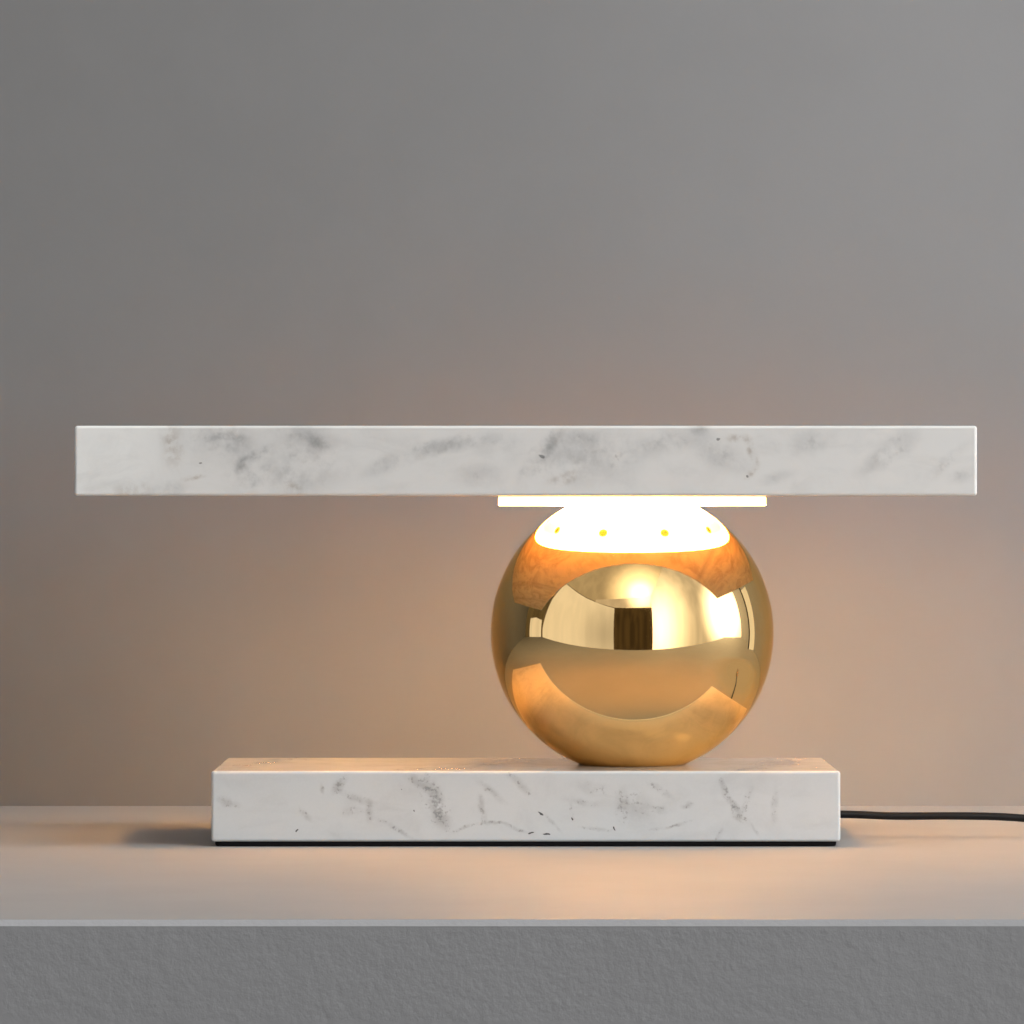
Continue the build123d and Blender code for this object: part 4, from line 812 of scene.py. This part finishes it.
# Panels that only polished things see: the room in front of the lamp.
PANEL_ROWS = 8


def direction(azimuth, elevation):
    """A direction from angles in degrees; azimuth 0 is straight at the camera, 90 is along +X."""
    a, e = math.radians(azimuth), math.radians(elevation)
    return Vector((math.sin(a) * math.cos(e), -math.cos(a) * math.cos(e), math.sin(e)))


def toward(azimuth, elevation, distance):
    """A point at some distance from the middle of the ball."""
    return BALL_CENTRE + distance * direction(azimuth, elevation)


def glow_paint(name, tint, levels, distance, spots):
    """Light from a panel: faint upright folds between two levels, and soft bright spots.

    Each spot is an azimuth and an elevation, its reach in metres, how much taller than wide it is,
    and its level.
    """
    graph = Graph(name, Base_Color=(0, 0, 0), Specular_IOR_Level=0.0, Emission_Color=tint)
    place = graph.place()
    folds = graph.noise(graph.mapped(place, (2, 2, 0.06)), 2.2, 2.0, 0.4)
    level = graph.ease(folds, 0.3, 0.7, *levels)
    for azimuth, elevation, reach, tall, bright in spots:
        squeeze = Vector((1.0, 1.0, 1.0 / tall))
        centre = toward(azimuth, elevation, distance) * squeeze
        away = graph.node("VectorMath", {0: graph.mapped(place, tuple(squeeze)), 1: tuple(centre)},
                          operation="DISTANCE").outputs["Value"]
        level = graph.math("ADD", level, graph.ease(away, 0.0, reach, bright, 0.0))
    graph.set("Emission Strength", level)
    return graph.material


def panel(name, columns, tint, levels, distance=3.0, spots=()):
    """A curved sheet round the ball. Each column is an azimuth with its lower and upper elevation."""
    points, faces = [], []
    for azimuth, low, high in columns:
        heights = [low + (high - low) * k / PANEL_ROWS for k in range(PANEL_ROWS + 1)]
        points += [toward(azimuth, height, distance) for height in heights]
    for i in range(len(columns) - 1):
        a, b = i * (PANEL_ROWS + 1), (i + 1) * (PANEL_ROWS + 1)
        faces += [(a + k, b + k, b + k + 1, a + k + 1) for k in range(PANEL_ROWS)]
    thing = stage_mesh(name, points, faces, glow_paint(name, tint, levels, distance, spots))
    thing.visible_camera = False
    thing.visible_diffuse = False
    thing.visible_transmission = False
    thing.visible_volume_scatter = False
    thing.visible_shadow = False
    return thing


DAYLIGHT, WARM = (1.0, 1.02, 1.08), (1.0, 0.84, 0.52)
panel("room_shell", [(a, -20, 74) for a in range(-100, 101, 10)], WARM, (0.10, 0.15), 3.6)
panel("room_left", [(-78, -8, 3), (-74, -8.5, 22), (-67, -10, 34.5), (-58, -12, 32), (-50, -13, 29.5),
                    (-42, -14, 27), (-34, -14.5, 24.8), (-25, -15, 22.5), (-16, -16, 20.5)],
      DAYLIGHT, (0.95, 1.02), 3.0, ((-22, 0, 1.6, 1.0, -0.38),))
panel("room_patch", [(-92, -5, 8), (-86, -5, 9), (-79.5, -5, 8)], DAYLIGHT, (0.85, 1.0))
panel("room_opening", [(-17, -17, 22), (-6, -17, 22), (4, -17, 22), (15, -17, 22)],
      (1.0, 0.72, 0.38), (0.05, 0.09), 3.3)
panel("room_ceiling", [(-70, 36, 70), (-60, 33, 70), (-50, 30, 70), (-42, 27.5, 70), (-34, 25.3, 70),
                       (-25, 23, 70), (-16, 21, 70), (-6, 21, 70), (4, 21, 70), (15, 21, 70), (26, 44, 70),
                       (37, 54, 70)],
      (1.0, 0.92, 0.78), (0.46, 0.54), 3.2, ((6, 34, 1.7, 1.0, 2.6), (6, 33, 0.75, 1.0, 4.0)))
panel("room_soffit", [(-33, 24.7, 26.5), (-25, 22.9, 27.2), (-16, 21, 27.8), (-6, 21.3, 28.6),
                      (4, 21.6, 29.3), (14, 22, 30)],
      (1.0, 0.95, 0.92), (0.62, 0.72), 3.1, ((8, 29, 0.9, 1.0, 3.5),))
panel("room_right", [(15, -18, 30), (20, -18, 37), (26, -18, 44), (32, -18, 50), (37, -18, 54), (44, -18, 60)]
      + [(azimuth, -18, 62) for azimuth in (52, 60, 68, 76, 84, 92, 97)],
      (1.0, 0.98, 0.96), (0.66, 0.82), 3.0,
      ((26, 12, 1.45, 2.6, 2.0), (19, 4, 0.9, 3.0, 1.6), (81, 12, 1.40, 1.1, 7.5)))
panel("room_corner", [(103.5, -16, 22), (105, -16, 22)], WARM, (0.0, 0.02), 0.75)
panel("room_band", [(105, -14, 20), (109, -14, 20), (113, -14, 20)], DAYLIGHT, (0.85, 1.0), 0.75)


# ---------------------------------------------------------------- light

SKY_DIM, SKY_PALE = (0.03, 0.03, 0.03, 1), (0.62, 0.62, 0.62, 1)

# Only the camera sees the pale sky, behind the table in other views.
world = bpy.data.worlds.new("world")
scene.world = world
world.use_nodes = True
sky = world.node_tree
shade = sky.nodes["Background"]
shade.inputs["Color"].default_value = SKY_DIM
pale = sky.nodes.new("ShaderNodeBackground")
pale.inputs["Color"].default_value = SKY_PALE
path = sky.nodes.new("ShaderNodeLightPath")
choose = sky.nodes.new("ShaderNodeMixShader")
sky.links.new(path.outputs["Is Camera Ray"], choose.inputs[0])
sky.links.new(shade.outputs[0], choose.inputs[1])
sky.links.new(pale.outputs[0], choose.inputs[2])
sky.links.new(choose.outputs[0], sky.nodes["World Output"].inputs["Surface"])


def area_light(name, location, target, size, power):
    data = bpy.data.lights.new(name, "AREA")
    data.shape = "RECTANGLE"
    data.size, data.size_y = size
    data.energy = power
    light = bpy.data.objects.new(name, data)
    light.location = location
    light.rotation_euler = (Vector(target) - Vector(location)).to_track_quat("-Z", "Y").to_euler()
    light.visible_camera = False
    light.visible_glossy = False
    scene.collection.objects.link(light)


# Soft boxes three metres from the middle of the lamp: azimuth, elevation, size in metres, power in watts.
MIDDLE, LIGHT_DISTANCE = Vector((0.0, 0.0, 0.11)), 3.0
STUDIO_LIGHTS = (
    ("key", 60, 7, (0.9, 0.8), 37.0),
    ("side", 60, 20, (0.9, 0.7), 12.0),
    ("front", 30, 20, (0.9, 0.7), 6.0),
    ("ceiling", 45, 34, (0.9, 0.7), 22.0),
    ("overhead", 60, 68, (0.9, 0.7), 18.5),
    ("top", 30, 80, (0.9, 0.7), 20.0),
    ("rear", 175, 55, (1.2, 0.9), 5.5),
)
for name, azimuth, elevation, size, power in STUDIO_LIGHTS:
    area_light(name, MIDDLE + LIGHT_DISTANCE * direction(azimuth, elevation), MIDDLE, size, power)
area_light("left_near", (-0.48, -0.42, 0.42), (-0.16, -0.085, 0.19), (0.25, 0.25), 0.40)
